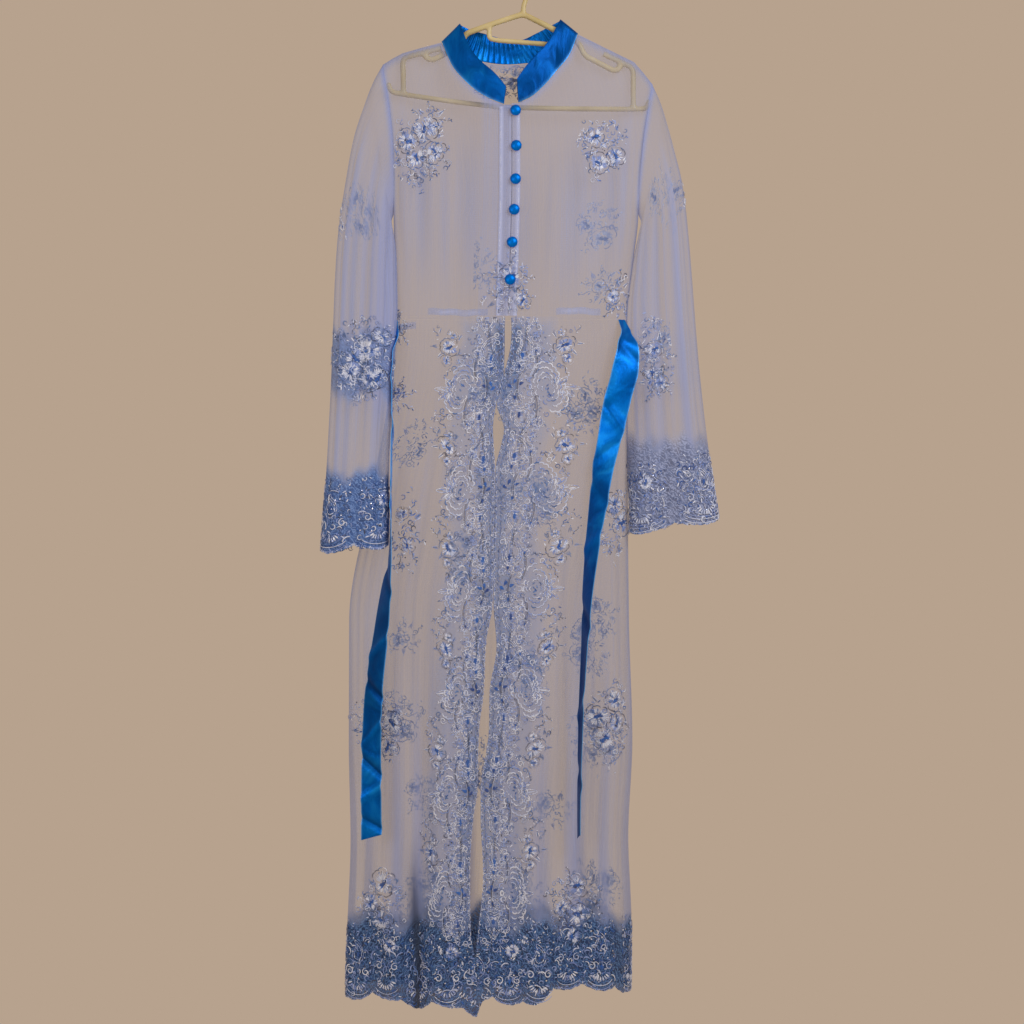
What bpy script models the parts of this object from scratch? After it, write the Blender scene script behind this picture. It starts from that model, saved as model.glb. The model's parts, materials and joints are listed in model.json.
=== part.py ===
# Long sheer kebaya coat with a satin stand collar, worn by a plastic clothes hanger.
# Metres, +Z up. The origin is the underside of the hook, the front faces -Y.
# Tables are in millimetres: "down" is measured below the hook, "across" to the +X side.
import math

import bmesh
import bpy
from mathutils import Matrix, Vector

mm = 0.001
collection_name = "kebaya_coat_on_hanger"
merge_reach = 0.00001

# Walls and seams
tulle_wall = 1.0
lace_raise = 0.8
satin_collar_wall = 2.0
shirred_collar_wall = 1.4
placket_wall = 1.2
tie_wall = 1.2
seam_gap = 0.3
waist_gap = 0.4
curved_seam_gap = 0.8
neck_gap = 1.0

# How the cloth falls away from the shoulder line
shoulder_roll = 5.6
fall_length = 60.0
fullness_power = 0.8
side_power = 3

# Heights of the main lines
underarm_down = 367.0
armhole_half_open = 23.0
waist_down = 520.0
hem_lace_top = 1411.0
cuff_lace_tall = 108.0
hem_place_down = 1522.0

# Hem and cuff scallops
scallop_wide = 44.0
scallop_tall = 9.0

# Grid sizes
front_columns = 14
back_columns = 24
plain_skirt_rows = 13
column_bias = 0.4
lower_bodice_shares = (0.3, 0.65)
hem_lace_shares = (0.4, 0.75, 1.0)
lace_step_half = 3.0
collar_columns = 8
collar_rows = 3

# Hanger
hook_rod_radius = 4.0
hook_inner_radius = 18.0
hanger_bend = 9.0
bend_steps = 2
bend_limit = 2.2
hook_stem = ((0, 70), (1, 58), (4, 48))
hook_angles = (-52, 205)
hook_steps = 15

# Buttons
button_radius = 8.0
button_height = 6.0
button_segments = 12
button_seat_step = 6.0
button_profile = ((0.0, 0.0), (0.8, 0.0), (1.0, 0.25), (0.95, 0.5), (0.75, 0.78), (0.4, 0.95), (0.0, 1.0))
button_downs = (218, 270, 319, 364, 412, 467)
button_across = (-11, -10, -11, -13, -16, -19)

# Placket, measured from the centre-front line
placket_left = 18.0
placket_right = 13.0
placket_top_down = 212.0

# Gathers of the collar's elastic back
gather_count = 17
gather_samples = 4
gather_depth = 1.1
gather_fade = 3.0
gather_at_edges = 0.35

# Colour and roughness of each material
finishes = {
    "lavender tulle": ((0.42, 0.44, 0.62), 0.6),
    "embroidered tulle": ((0.20, 0.28, 0.55), 0.6),
    "blue satin": ((0.003, 0.15, 0.55), 0.35),
    "folded tulle placket": ((0.50, 0.52, 0.72), 0.6),
    "pale yellow plastic": ((0.80, 0.72, 0.42), 0.4),
}

body = {
    "columns": ("down", "left", "right", "depth", "side_depth"),
    "rows": (
        (100, -207, 191, 26, 20),
        (145, -207, 191, 27, 20),
        (174, -203, 191, 28, 21),
        (197, -199, 187, 28, 22),
        (271, -192, 176, 29, 23),
        (330, -191, 171, 30, 17),
        (355, -191, 170, 31, 8),
        (367, -191, 170, 31, 0),
        (434, -189, 163, 33, 0),
        (520, -188, 154, 36, 0),
        (641, -199, 154, 42, 0),
        (789, -226, 154, 48, 0),
        (967, -256, 156, 54, 0),
        (1145, -256, 161, 58, 0),
        (1293, -253, 154, 60, 0),
        (1411, -257, 158, 62, 0),
        (1545, -260, 157, 62, 0),
    ),
}

centre_line = {
    "columns": ("down", "across"),
    "rows": ((200, -17), (316, -17), (412, -19), (520, -22)),
}

# Front edges of the skirt, which open and close down the slit
slit = {
    "columns": ("down", "left", "right"),
    "rows": (
        (520, -26, -18),
        (540, -27, -17),
        (560, -27, -18),
        (604, -29, -27),
        (649, -40, -38),
        (686, -44, -28),
        (708, -43, -32),
        (745, -42, -40),
        (937, -45, -43),
        (1004, -55, -39),
        (1070, -58, -49),
        (1122, -64, -50),
        (1219, -68, -62),
        (1248, -72, -62),
        (1337, -78, -58),
        (1426, -75, -67),
        (1455, -70, -68),
        (1545, -64, -62),
    ),
}

# Outer limits of the embroidered borders beside the slit
border = {
    "columns": ("down", "left", "right"),
    "rows": (
        (520, -124, 76),
        (745, -122, 76),
        (995, -120, 46),
        (1235, -140, 20),
        (1545, -150, 16),
    ),
}
border_wave = 10.0
border_repeat = 150.0
border_fade = 12.0

hem = {
    "columns": ("across", "front", "back"),
    "rows": (
        (-300, 1522, 1516),
        (-200, 1506, 1508),
        (-158, 1522, 1516),
        (-117, 1514, 1520),
        (-68, 1530, 1512),
        (-60, 1508, 1514),
        (0, 1516, 1518),
        (62, 1494, 1510),
        (100, 1494, 1506),
        (190, 1504, 1512),
    ),
}

# Soft folds: "around" is in degrees, 0 at the front, 90 at the +X side, 180 at the back
skirt_folds = {
    "columns": ("around", "top", "full", "depth", "wide"),
    "rows": (
        (-78, 760, 1500, 5, 9),
        (-41, 620, 1400, 8, 7),
        (-31, 900, 1420, -13, 5),
        (-17, 600, 1500, 7, 7),
        (9, 760, 1500, -5, 6),
        (20, 620, 1450, 8, 7),
        (37, 850, 1400, -9, 7),
        (54, 560, 1500, 8, 8),
        (78, 700, 1450, -5, 9),
        (104, 640, 1500, 7, 11),
        (124, 900, 1500, -9, 7),
        (140, 600, 1400, 10, 8),
        (157, 980, 1500, -8, 6),
        (172, 640, 1500, 9, 8),
        (189, 820, 1400, -10, 6),
        (205, 600, 1500, 9, 8),
        (223, 940, 1500, -9, 7),
        (240, 620, 1450, 10, 8),
        (262, 860, 1500, -5, 10),
    ),
}

bodice_folds = {
    "columns": ("around", "top", "bottom", "depth", "wide"),
    "rows": (
        (-64, 170, 500, 4, 6),
        (-52, 190, 470, -3, 5),
        (-36, 240, 510, 2, 6),
        (-20, 260, 500, -2, 6),
        (24, 250, 505, 2, 7),
        (41, 210, 500, -2, 6),
        (60, 180, 480, 4, 6),
        (128, 200, 490, 3, 7),
        (150, 220, 505, -3, 7),
        (176, 260, 500, 3, 8),
        (203, 210, 500, -3, 7),
        (230, 190, 500, 4, 7),
    ),
}

# Shoulder line from the sleeve head to the neck and on up the fold of the collar
ridges = {
    -1: ((-207, 145), (-193, 136), (-178, 128), (-150, 120), (-120, 112), (-93, 85)),
    1: ((191, 174), (178, 157), (164, 141), (121, 120), (81, 100), (55, 79)),
}

front_collar = {
    "columns": ("along", "seam_across", "seam_down", "edge_across", "edge_down"),
    -1: (
        (0.0, -28, 208, -25, 183),
        (0.2, -48, 200, -43, 161),
        (0.4, -68, 188, -59, 147),
        (0.6, -86, 172, -73, 131),
        (0.8, -104, 150, -83, 112),
        (1.0, -120, 112, -93, 85),
    ),
    1: (
        (0.0, -7, 206, -9, 172),
        (0.2, 12, 197, 3, 154),
        (0.4, 33, 178, 18, 136),
        (0.6, 50, 157, 31, 122),
        (0.8, 68, 134, 42, 105),
        (1.0, 81, 100, 55, 79),
    ),
}
front_collar_lift = 5.0

back_collar = {
    "columns": ("along", "seam_across", "seam_down", "edge_across", "edge_down"),
    "rows": (
        (0.00, -120, 112, -93, 85),
        (0.14, -98, 127, -77, 91),
        (0.30, -65, 136, -57, 95),
        (0.46, -27, 140, -30, 101),
        (0.62, 10, 138, -4, 103),
        (0.77, 43, 129, 21, 94),
        (0.89, 64, 117, 39, 86),
        (1.00, 81, 100, 55, 79),
    ),
}
back_collar_lean = 6.0

# Folds of a sleeve swell and fade over these rows
sleeve_fold_rows = 3
sleeve_fold_overrun = 2

# A row of a sleeve is a ring between its outer and its inner edge
sleeve = {
    "columns": ("outer_across", "outer_down", "inner_across", "inner_down", "forward", "half_depth"),
    -1: (
        (-221, 171, -195, 378, 0, 21),
        (-234, 205, -196, 394, 1, 20),
        (-250, 256, -196, 413, 4, 19),
        (-263, 330, -196, 438, 9, 18),
        (-272, 397, -196, 471, 15, 17),
        (-276, 464, -196, 508, 22, 16),
        (-278, 538, -196, 557, 32, 16),
        (-280, 612, -196, 621, 41, 16),
        (-283, 686, -196, 689, 49, 16),
        (-286, 752, -196, 751, 56, 16),
        (-290, 812, -196, 807, 61, 17),
        (-293, 858, -197, 850, 63, 18),
    ),
    1: (
        (203, 202, 175, 378, 0, 21),
        (213, 234, 175, 394, 0, 20),
        (225, 279, 173, 413, 1, 19),
        (234, 316, 171, 438, 2, 18),
        (241, 367, 167, 471, 4, 17),
        (247, 434, 162, 508, 6, 16),
        (253, 516, 160, 557, 8, 16),
        (259, 590, 159, 621, 10, 16),
        (265, 650, 158, 682, 12, 16),
        (273, 716, 157, 740, 14, 17),
        (281, 772, 157, 790, 16, 18),
        (287, 812, 157, 832, 17, 19),
    ),
}

# Stations round a sleeve, 0 at the outer edge and 180 at the underarm
sleeve_angles = (0, 12, 30, 50, 72, 96, 120, 144, 165, 180)

sleeve_folds = {
    "columns": ("around", "first_row", "last_row", "depth", "wide"),
    -1: (
        (52, 1, 11, 4, 13),
        (84, 0, 9, -3, 12),
        (116, 1, 12, 4, 14),
        (232, 1, 12, 3, 16),
        (300, 2, 12, -3, 16),
    ),
    1: (
        (60, 1, 12, 4, 14),
        (100, 2, 12, -3, 14),
        (134, 1, 11, 3, 13),
        (246, 1, 12, 3, 16),
        (308, 2, 11, -3, 16),
    ),
}

# A row of a tie is a short line across the ribbon, turned about the vertical
ties = {
    "columns": ("down", "across", "forward", "wide", "turn"),
    -1: (
        (545, -186, 30, 18, -66),
        (575, -191, 38, 26, -86),
        (640, -191, 42, 32, -88),
        (770, -191, 58, 34, -88),
        (860, -192, 68, 34, -82),
        (920, -199, 74, 34, -64),
        (967, -204, 78, 33, -50),
        (1085, -217, 80, 32, -32),
        (1170, -219, 80, 31, -20),
        (1277, -219, 78, 31, -14),
    ),
    1: (
        (540, 150, 28, 22, 50),
        (562, 153, 38, 32, 20),
        (604, 148, 47, 40, 4),
        (641, 138, 52, 40, -6),
        (700, 126, 58, 38, -22),
        (745, 116, 62, 36, -34),
        (804, 107, 68, 35, -46),
        (863, 99, 74, 34, -56),
        (937, 92, 78, 34, -68),
        (1000, 89, 82, 33, -76),
        (1115, 84, 84, 32, -80),
        (1275, 80, 86, 30, -84),
    ),
}
tie_root_around = {-1: (-66, -76), 1: (66, 76)}
tie_root_down = 524.0
tie_end_slant = 9.0
tie_columns = 2

# Rods of the hanger as (across, down) corners; each is a little thinner than the rod it joins
hanger_rods = {
    "arms": (
        4.5,
        (
            (-147, 126), (-143, 136), (-133, 138), (-90, 117), (-87, 100), (-49, 86), (0, 70),
            (44, 92), (84, 114), (90, 131), (134, 154), (142, 152), (145, 141),
        ),
    ),
    "left_shoulder": (4.3, ((-121, 120), (-146, 127), (-178, 135), (-177, 188))),
    "right_shoulder": (4.3, ((119, 129), (146, 142), (163, 150), (163, 210))),
    "trouser_bar": (
        4.1,
        (
            (-200, 172), (-196, 185), (-178, 189), (-108, 199), (-34, 208), (55, 210), (163, 211),
            (183, 210), (187, 197),
        ),
    ),
    "tie_bar": (3.8, ((-49, 87), (-51, 106), (-38, 109), (40, 115), (55, 112), (56, 98))),
}


def clear_scene():
    for thing in list(bpy.data.objects):
        bpy.data.objects.remove(thing, do_unlink=True)


def make_collection(name):
    group = bpy.data.collections.new(name)
    bpy.context.scene.collection.children.link(group)
    return group


def make_material(name, colour, roughness):
    material = bpy.data.materials.new(name)
    material.use_nodes = True
    shader = material.node_tree.nodes["Principled BSDF"]
    shader.inputs["Base Color"].default_value = (*colour, 1.0)
    shader.inputs["Roughness"].default_value = roughness
    return material


# A smooth curve through a table's rows that never overshoots them
def smooth_through(places, values, where):
    if where <= places[0]:
        return values[0]
    if where >= places[-1]:
        return values[-1]
    last = len(places) - 1
    after = next(i for i in range(1, last + 1) if places[i] >= where)
    before = after - 1
    steps = [(values[i + 1] - values[i]) / (places[i + 1] - places[i]) for i in range(last)]

    def slope(i):
        if i in (0, last) or steps[i - 1] * steps[i] <= 0:
            return 0.0
        return 2 * steps[i - 1] * steps[i] / (steps[i - 1] + steps[i])

    width = places[after] - places[before]
    t = (where - places[before]) / width
    return (
        values[before] * (1 + 2 * t) * (1 - t) ** 2
        + slope(before) * width * t * (1 - t) ** 2
        + values[after] * t * t * (3 - 2 * t)
        + slope(after) * width * t * t * (t - 1)
    )


def look_up(table, column, where, key="rows"):
    index = table["columns"].index(column)
    rows = table[key]
    return smooth_through([row[0] for row in rows], [row[index] for row in rows], where)


def ease(t):
    t = min(max(t, 0.0), 1.0)
    return t * t * (3 - 2 * t)


def mix(a, b, t):
    return a + (b - a) * t


def angle_between(a, b):
    return abs((a - b + 180) % 360 - 180)


def bump(distance, wide):
    return math.exp(-((distance / wide) ** 2))


def segment_distance(point, start, end):
    span = (end[0] - start[0], end[1] - start[1])
    to_point = (point[0] - start[0], point[1] - start[1])
    t = (span[0] * to_point[0] + span[1] * to_point[1]) / (span[0] ** 2 + span[1] ** 2)
    t = min(max(t, 0.0), 1.0)
    return math.hypot(to_point[0] - span[0] * t, to_point[1] - span[1] * t)


def ridge_distance(across, down):
    return min(
        segment_distance((across, down), line[i], line[i + 1])
        for line in ridges.values()
        for i in range(len(line) - 1)
    )


# Depth of the cloth from the middle plane: it rolls over the shoulder line, then fills out
def fall_depth(across, down, full_depth):
    drop = ridge_distance(across, down)
    if drop < shoulder_roll:
        return math.sqrt(shoulder_roll**2 - (shoulder_roll - drop) ** 2)
    return full_depth + (shoulder_roll - full_depth) * math.exp(-(drop - shoulder_roll) / fall_length)


def body_centre(down):
    return (look_up(body, "left", down) + look_up(body, "right", down)) / 2


def body_half_width(down):
    return (look_up(body, "right", down) - look_up(body, "left", down)) / 2


def across_at(around, down):
    return body_centre(down) + body_half_width(down) * math.sin(math.radians(around))


def around_at(across, down, face):
    share = (across - body_centre(down)) / body_half_width(down)
    around = math.degrees(math.asin(min(max(share, -1.0), 1.0)))
    return around if face < 0 else 180 - around


def fold_height(around, down):
    height = 0.0
    for centre, top, full, depth, wide in skirt_folds["rows"]:
        height += depth * ease((down - top) / (full - top)) * bump(angle_between(around, centre), wide)
    for centre, top, bottom, depth, wide in bodice_folds["rows"]:
        if top < down < bottom:
            swell = math.sin(math.pi * (down - top) / (bottom - top)) ** 2
            height += depth * swell * bump(angle_between(around, centre), wide)
    return height


# A point of the coat's body, given by its place in the front view and its face (-1 front, 1 back)
def body_point(across, down, face, out=0.0):
    around = around_at(across, down, face)
    roundness = abs(math.cos(math.radians(around))) ** fullness_power
    side = look_up(body, "side_depth", down)
    full = look_up(body, "depth", down) * roundness + side * (1 - roundness) ** side_power
    depth = fall_depth(across, down, full) + seam_gap / 2
    half_width = body_half_width(down)
    normal = Vector((
        math.sin(math.radians(around)) * look_up(body, "depth", down),
        -math.cos(math.radians(around)) * half_width,
        0.0,
    )).normalized()
    shift = normal * (fold_height(around, down) + out)
    return Vector((across, face * depth, -down)) + shift


def face_samples(start, end, count):
    samples = []
    for k in range(count + 1):
        t = k / count
        eased = mix(t, math.degrees(math.asin(t)) / 90, column_bias)
        samples.append(mix(start, end, eased))
    return samples


def back_samples(count):
    half = count // 2
    right = face_samples(180, 90, half)
    left = face_samples(180, 270, half)
    return list(reversed(right)) + left[1:]


# Turns rows of points into an open grid surface with its normals facing away from the core
def grid_surface(name, rows, core, closed=False):
    shape = bmesh.new()
    vertices = [[shape.verts.new(point * mm) for point in row] for row in rows]
    width = len(rows[0])
    for r in range(len(rows) - 1):
        for c in range(width if closed else width - 1):
            d = (c + 1) % width
            shape.faces.new((vertices[r][c], vertices[r][d], vertices[r + 1][d], vertices[r + 1][c]))
    shape.normal_update()
    facing = 0.0
    for face in shape.faces:
        centre = face.calc_center_median()
        facing += face.normal.dot(centre - core(centre)) * face.calc_area()
    if facing < 0:
        bmesh.ops.reverse_faces(shape, faces=shape.faces)
    mesh = bpy.data.meshes.new(name)
    shape.to_mesh(mesh)
    shape.free()
    return bpy.data.objects.new(name, mesh)


# Gives an open surface its wall; raised shares add the lace's height to the outer side only
def add_wall(surface, wall, raised=None):
    solidify = surface.modifiers.new("wall", "SOLIDIFY")
    solidify.offset = 1.0
    solidify.use_even_offset = True
    solidify.thickness = wall * mm
    if raised is not None:
        group = surface.vertex_groups.new(name="lace")
        for index, share in enumerate(raised):
            group.add([index], share, "REPLACE")
        solidify.thickness = (wall + lace_raise) * mm
        solidify.vertex_group = "lace"
        solidify.thickness_vertex_group = wall / (wall + lace_raise)


def finish(surface, group, material):
    group.objects.link(surface)
    bpy.context.view_layer.update()
    evaluated = surface.evaluated_get(bpy.context.evaluated_depsgraph_get())
    mesh = bpy.data.meshes.new_from_object(evaluated)
    surface.modifiers.clear()
    surface.vertex_groups.clear()
    surface.data = mesh
    shape = bmesh.new()
    shape.from_mesh(mesh)
    bmesh.ops.triangulate(shape, faces=shape.faces, quad_method="BEAUTY")
    bmesh.ops.recalc_face_normals(shape, faces=shape.faces)
    if shape.calc_volume(signed=True) < 0:
        bmesh.ops.reverse_faces(shape, faces=shape.faces)
    shape.to_mesh(mesh)
    shape.free()
    mesh.materials.clear()
    mesh.materials.append(material)
    return surface


def middle_plane(point):
    return Vector((point.x, 0.0, point.z))


# Rows below the top edge that meet the sleeve's stations as far as the underarm
def armhole_shares():
    return [(1 - math.cos(math.radians(a))) / 2 for a in sleeve_angles]


def bodice_downs(top):
    downs = [mix(top, underarm_down, share) for share in armhole_shares()]
    downs += [mix(underarm_down, waist_down, share) for share in lower_bodice_shares]
    return downs + [waist_down - waist_gap / 2]


# Panel between a top edge and the waist; each column has a top point and a place at the waist
def bodice_rows(tops, waist_arounds, near_edge, far_edge, face):
    columns = []
    for (across, down), around in zip(tops, waist_arounds):
        waist_across = across_at(around, waist_down)
        span = far_edge(down) - near_edge(down)
        top_share = (across - near_edge(down)) / span
        waist_share = (waist_across - near_edge(waist_down)) / (far_edge(waist_down) - near_edge(waist_down))
        column = []
        for place in bodice_downs(down):
            share = mix(top_share, waist_share, (place - down) / (waist_down - down))
            x = mix(near_edge(place), far_edge(place), share)
            column.append(body_point(x, place, face))
        columns.append(column)
    return [[column[r] for column in columns] for r in range(len(columns[0]))]


def collar_point(table, key, along, edge_share):
    across = mix(
        look_up(table, "seam_across", along, key), look_up(table, "edge_across", along, key), edge_share
    )
    down = mix(look_up(table, "seam_down", along, key), look_up(table, "edge_down", along, key), edge_share)
    return across, down


# The neck edge of the panel under the collar, a seam's gap away from the collar
def neck_edge(table, key, along, gap):
    seam = Vector(collar_point(table, key, along, 0.0))
    edge = Vector(collar_point(table, key, along, 1.0))
    place = seam + (seam - edge).normalized() * gap
    return place.x, place.y


def side_line(side):
    column = "left" if side < 0 else "right"
    return lambda down: look_up(body, column, down)


def centre_edge(side):
    return lambda down: look_up(centre_line, "across", down) + side * seam_gap / 2


# The ridge from the neck to the sleeve head, its upper vertices first
def shoulder_points(side):
    return [ridges[side][i] for i in range(4, -1, -1)]


def front_top_edge(side):
    centre_down = front_collar[side][0][2] + neck_gap
    points = [(centre_edge(side)(centre_down), centre_down)]
    for k in range(collar_columns):
        points.append(neck_edge(front_collar, side, k / collar_columns, neck_gap))
    neck, *outer = shoulder_points(side)
    corner = neck_edge(front_collar, side, 1.0, neck_gap)
    return points + [corner] + outer


def build_bodice_front(side, group, material):
    name = "bodice_front_left" if side < 0 else "bodice_front_right"
    tops = front_top_edge(side)
    centre_around = around_at(centre_edge(side)(waist_down), waist_down, -1)
    arounds = face_samples(centre_around, side * 90, len(tops) - 1)
    rows = bodice_rows(tops, arounds, centre_edge(side), side_line(side), -1)
    panel = grid_surface(name, rows, middle_plane)
    add_wall(panel, tulle_wall)
    return finish(panel, group, material)


def build_bodice_back(group, material):
    left = list(reversed(shoulder_points(-1)))[:-1]
    right = shoulder_points(1)[1:]
    neck_count = back_columns - len(left) - len(right)
    neck = [neck_edge(back_collar, "rows", k / neck_count, neck_gap) for k in range(neck_count + 1)]
    tops = left + neck + right
    arounds = list(reversed(back_samples(back_columns)))
    rows = bodice_rows(tops, arounds, side_line(-1), side_line(1), 1)
    panel = grid_surface("bodice_back", rows, middle_plane)
    add_wall(panel, tulle_wall)
    return finish(panel, group, material)


def hem_down(across, face):
    base = look_up(hem, "front" if face < 0 else "back", across)
    return base + scallop_tall * abs(math.sin(math.pi * across / scallop_wide))


# Shares down a skirt panel, with a close pair of rows where the hem lace begins
def skirt_downs(bottom):
    top = waist_down + waist_gap / 2
    plain_bottom = hem_lace_top - lace_step_half
    downs = [mix(top, plain_bottom, k / plain_skirt_rows) for k in range(plain_skirt_rows + 1)]
    downs.append(hem_lace_top + lace_step_half)
    return downs + [mix(hem_lace_top, bottom, share) for share in hem_lace_shares]


def border_share(across, down, side):
    limit = look_up(border, "left" if side < 0 else "right", down)
    limit += side * border_wave * math.cos(2 * math.pi * (down - waist_down) / border_repeat)
    inside = (limit - across) * side
    return ease(inside / border_fade + 0.5)


def build_skirt_front(side, group, material):
    name = "skirt_front_left" if side < 0 else "skirt_front_right"
    column = "left" if side < 0 else "right"
    rows = []
    raised = []
    count = front_columns
    bottoms = []
    edge = around_at(look_up(slit, column, hem_place_down), hem_place_down, -1)
    for around in face_samples(edge, side * 90, count):
        bottoms.append(hem_down(across_at(around, hem_place_down), -1))
    for r in range(len(skirt_downs(bottoms[0]))):
        row = []
        for k in range(count + 1):
            down = skirt_downs(bottoms[k])[r]
            edge = around_at(look_up(slit, column, down), down, -1)
            around = face_samples(edge, side * 90, count)[k]
            across = across_at(around, down)
            row.append(body_point(across, down, -1))
            lace = 1.0 if down > hem_lace_top else border_share(across, down, side)
            raised.append(lace)
        rows.append(row)
    panel = grid_surface(name, rows, middle_plane)
    add_wall(panel, tulle_wall, raised)
    return finish(panel, group, material)


def build_skirt_back(group, material):
    arounds = list(reversed(back_samples(back_columns)))
    bottoms = [hem_down(across_at(around, hem_lace_top), 1) for around in arounds]
    rows = []
    raised = []
    for r in range(len(skirt_downs(bottoms[0]))):
        row = []
        for around, bottom in zip(arounds, bottoms):
            down = skirt_downs(bottom)[r]
            row.append(body_point(across_at(around, down), down, 1))
            raised.append(1.0 if down > hem_lace_top else 0.0)
        rows.append(row)
    panel = grid_surface("skirt_back", rows, middle_plane)
    add_wall(panel, tulle_wall, raised)
    return finish(panel, group, material)


def build_collar_front(side, group, material):
    name = "collar_front_left" if side < 0 else "collar_front_right"
    rows = []
    for r in range(collar_rows + 1):
        share = r / collar_rows
        row = []
        for k in range(collar_columns + 1):
            along = k / collar_columns
            across, down = collar_point(front_collar, side, along, share)
            point = body_point(across, down, -1)
            lift = front_collar_lift * share * math.cos(math.pi / 2 * along)
            row.append(point + Vector((0.0, -lift, 0.0)))
        rows.append(row)
    band = grid_surface(name, rows, middle_plane)
    add_wall(band, satin_collar_wall)
    return finish(band, group, material)


def build_collar_back(group, material):
    count = gather_count * gather_samples
    rows = []
    for r in range(collar_rows + 1):
        share = r / collar_rows
        row = []
        for k in range(count + 1):
            along = k / count
            across, down = collar_point(back_collar, "rows", along, share)
            point = body_point(across, down, 1)
            ends = math.sin(math.pi * along)
            fullness = mix(gather_at_edges, 1.0, math.sin(math.pi * share))
            wave = gather_depth * min(1.0, gather_fade * ends) * fullness
            lean = back_collar_lean * share * ends + wave * (1 + math.sin(2 * math.pi * along * gather_count))
            row.append(point + Vector((0.0, lean, 0.0)))
        rows.append(row)
    band = grid_surface("collar_back", rows, middle_plane)
    add_wall(band, shirred_collar_wall)
    return finish(band, group, material)


def build_placket(group, material):
    rows = []
    for down in bodice_downs(placket_top_down):
        centre = look_up(centre_line, "across", down)
        row = []
        for offset in (-placket_left, -placket_left / 2, 0.0, placket_right / 2, placket_right):
            row.append(body_point(centre + offset, down, -1, tulle_wall + curved_seam_gap))
        rows.append(row)
    strip = grid_surface("placket", rows, middle_plane)
    add_wall(strip, placket_wall)
    return finish(strip, group, material)


def build_button(number, across, down, group, material):
    shape = bmesh.new()
    points = [
        shape.verts.new((r * button_radius * mm, 0.0, h * button_height * mm)) for r, h in button_profile
    ]
    for a, b in zip(points, points[1:]):
        shape.edges.new((a, b))
    name = f"button_{number}"
    mesh = bpy.data.meshes.new(name)
    shape.to_mesh(mesh)
    shape.free()
    button = bpy.data.objects.new(name, mesh)
    screw = button.modifiers.new("turn", "SCREW")
    screw.steps = button_segments
    screw.render_steps = button_segments
    screw.use_merge_vertices = True
    screw.merge_threshold = merge_reach
    finish(button, group, material)
    lift = tulle_wall + placket_wall + 2 * curved_seam_gap
    seat = body_point(across, down, -1, lift)
    step = button_seat_step
    up = body_point(across, down - step, -1, lift) - body_point(across, down + step, -1, lift)
    right = body_point(across + step, down, -1, lift) - body_point(across - step, down, -1, lift)
    normal = right.cross(up).normalized()
    up.normalize()
    turn = Matrix((up.cross(normal), up, normal)).transposed()
    button.data.transform(Matrix.Translation(seat * mm) @ turn.to_4x4())
    return button


def ring_point(row, side, angle):
    named = dict(zip(sleeve["columns"], row))
    outer = Vector((named["outer_across"], 0.0, -named["outer_down"]))
    inner = Vector((named["inner_across"], 0.0, -named["inner_down"]))
    turn = math.radians(angle)
    point = (outer + inner) / 2 + (outer - inner) / 2 * math.cos(turn)
    point.y = -named["forward"] - named["half_depth"] * math.copysign(
        abs(math.sin(turn)) ** fullness_power, math.sin(turn)
    )
    return point


def armhole_point(side, angle):
    top = shoulder_points(side)[-1][1]
    folded = min(angle, 360 - angle)
    down = mix(top, underarm_down, (1 - math.cos(math.radians(folded))) / 2)
    point = body_point(side_line(side)(down), down, -1 if angle <= 180 else 1)
    closing = 1 - look_up(body, "side_depth", down) / armhole_half_open
    point.x += side * (curved_seam_gap + 2 * tulle_wall * closing)
    point.z += curved_seam_gap * math.cos(math.radians(folded))
    return point


def build_sleeve(side, group, material):
    name = "sleeve_left" if side < 0 else "sleeve_right"
    angles = list(sleeve_angles) + [360 - a for a in reversed(sleeve_angles[1:-1])]
    table = sleeve[side]
    rows = [[armhole_point(side, a) for a in angles]]
    cuff_top = table[-1][1] - cuff_lace_tall
    raised = [0.0] * len(angles)
    for number, entry in enumerate(table, 1):
        ring = []
        centre = (ring_point(entry, side, 90) + ring_point(entry, side, 270)) / 2
        for angle in angles:
            point = ring_point(entry, side, angle)
            outward = point - centre
            outward.z = 0.0
            outward.normalize()
            for around, first, last, depth, wide in sleeve_folds[side]:
                swell = ease((number - first) / sleeve_fold_rows)
                swell *= ease((last + sleeve_fold_overrun - number) / sleeve_fold_rows)
                point += outward * depth * swell * bump(angle_between(angle, around), wide)
            if number == len(table):
                point.z -= scallop_tall * abs(math.sin(math.radians(2 * angle)))
            ring.append(point)
            raised.append(1.0 if -point.z > cuff_top else 0.0)
        rows.append(ring)
    underarm = len(sleeve_angles) - 1
    axis = {n: (Vector(ring[0]) + Vector(ring[underarm])) / 2 * mm for n, ring in enumerate(rows)}

    def core(point):
        return min(axis.values(), key=lambda place: (place - point).length)

    tube = grid_surface(name, rows, core, closed=True)
    add_wall(tube, tulle_wall, raised)
    return finish(tube, group, material)


def tie_line(across, down, forward, wide, turn):
    half = wide / 2
    lean = math.radians(turn)
    reach = Vector((math.cos(lean), math.sin(lean), 0.0)) * half
    centre = Vector((across, -forward, -down))
    return [centre + reach * mix(-1, 1, k / tie_columns) for k in range(tie_columns + 1)]


def build_tie(side, group, material):
    name = "tie_left" if side < 0 else "tie_right"
    out = tulle_wall + curved_seam_gap
    start, end = tie_root_around[side]
    arounds = [mix(start, end, k / tie_columns) for k in range(tie_columns + 1)]
    if side < 0:
        arounds.reverse()
    root = [body_point(across_at(a, tie_root_down), tie_root_down, -1, out) for a in arounds]
    rows = [root] + [tie_line(x, down, y, wide, turn) for down, x, y, wide, turn in ties[side]]
    for k, point in enumerate(rows[-1]):
        point.z += tie_end_slant * (k / tie_columns - 0.5)
    ribbon = grid_surface(name, rows, lambda point: point + Vector((0.0, 1.0, 0.0)))
    add_wall(ribbon, tie_wall)
    return finish(ribbon, group, material)


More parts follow.
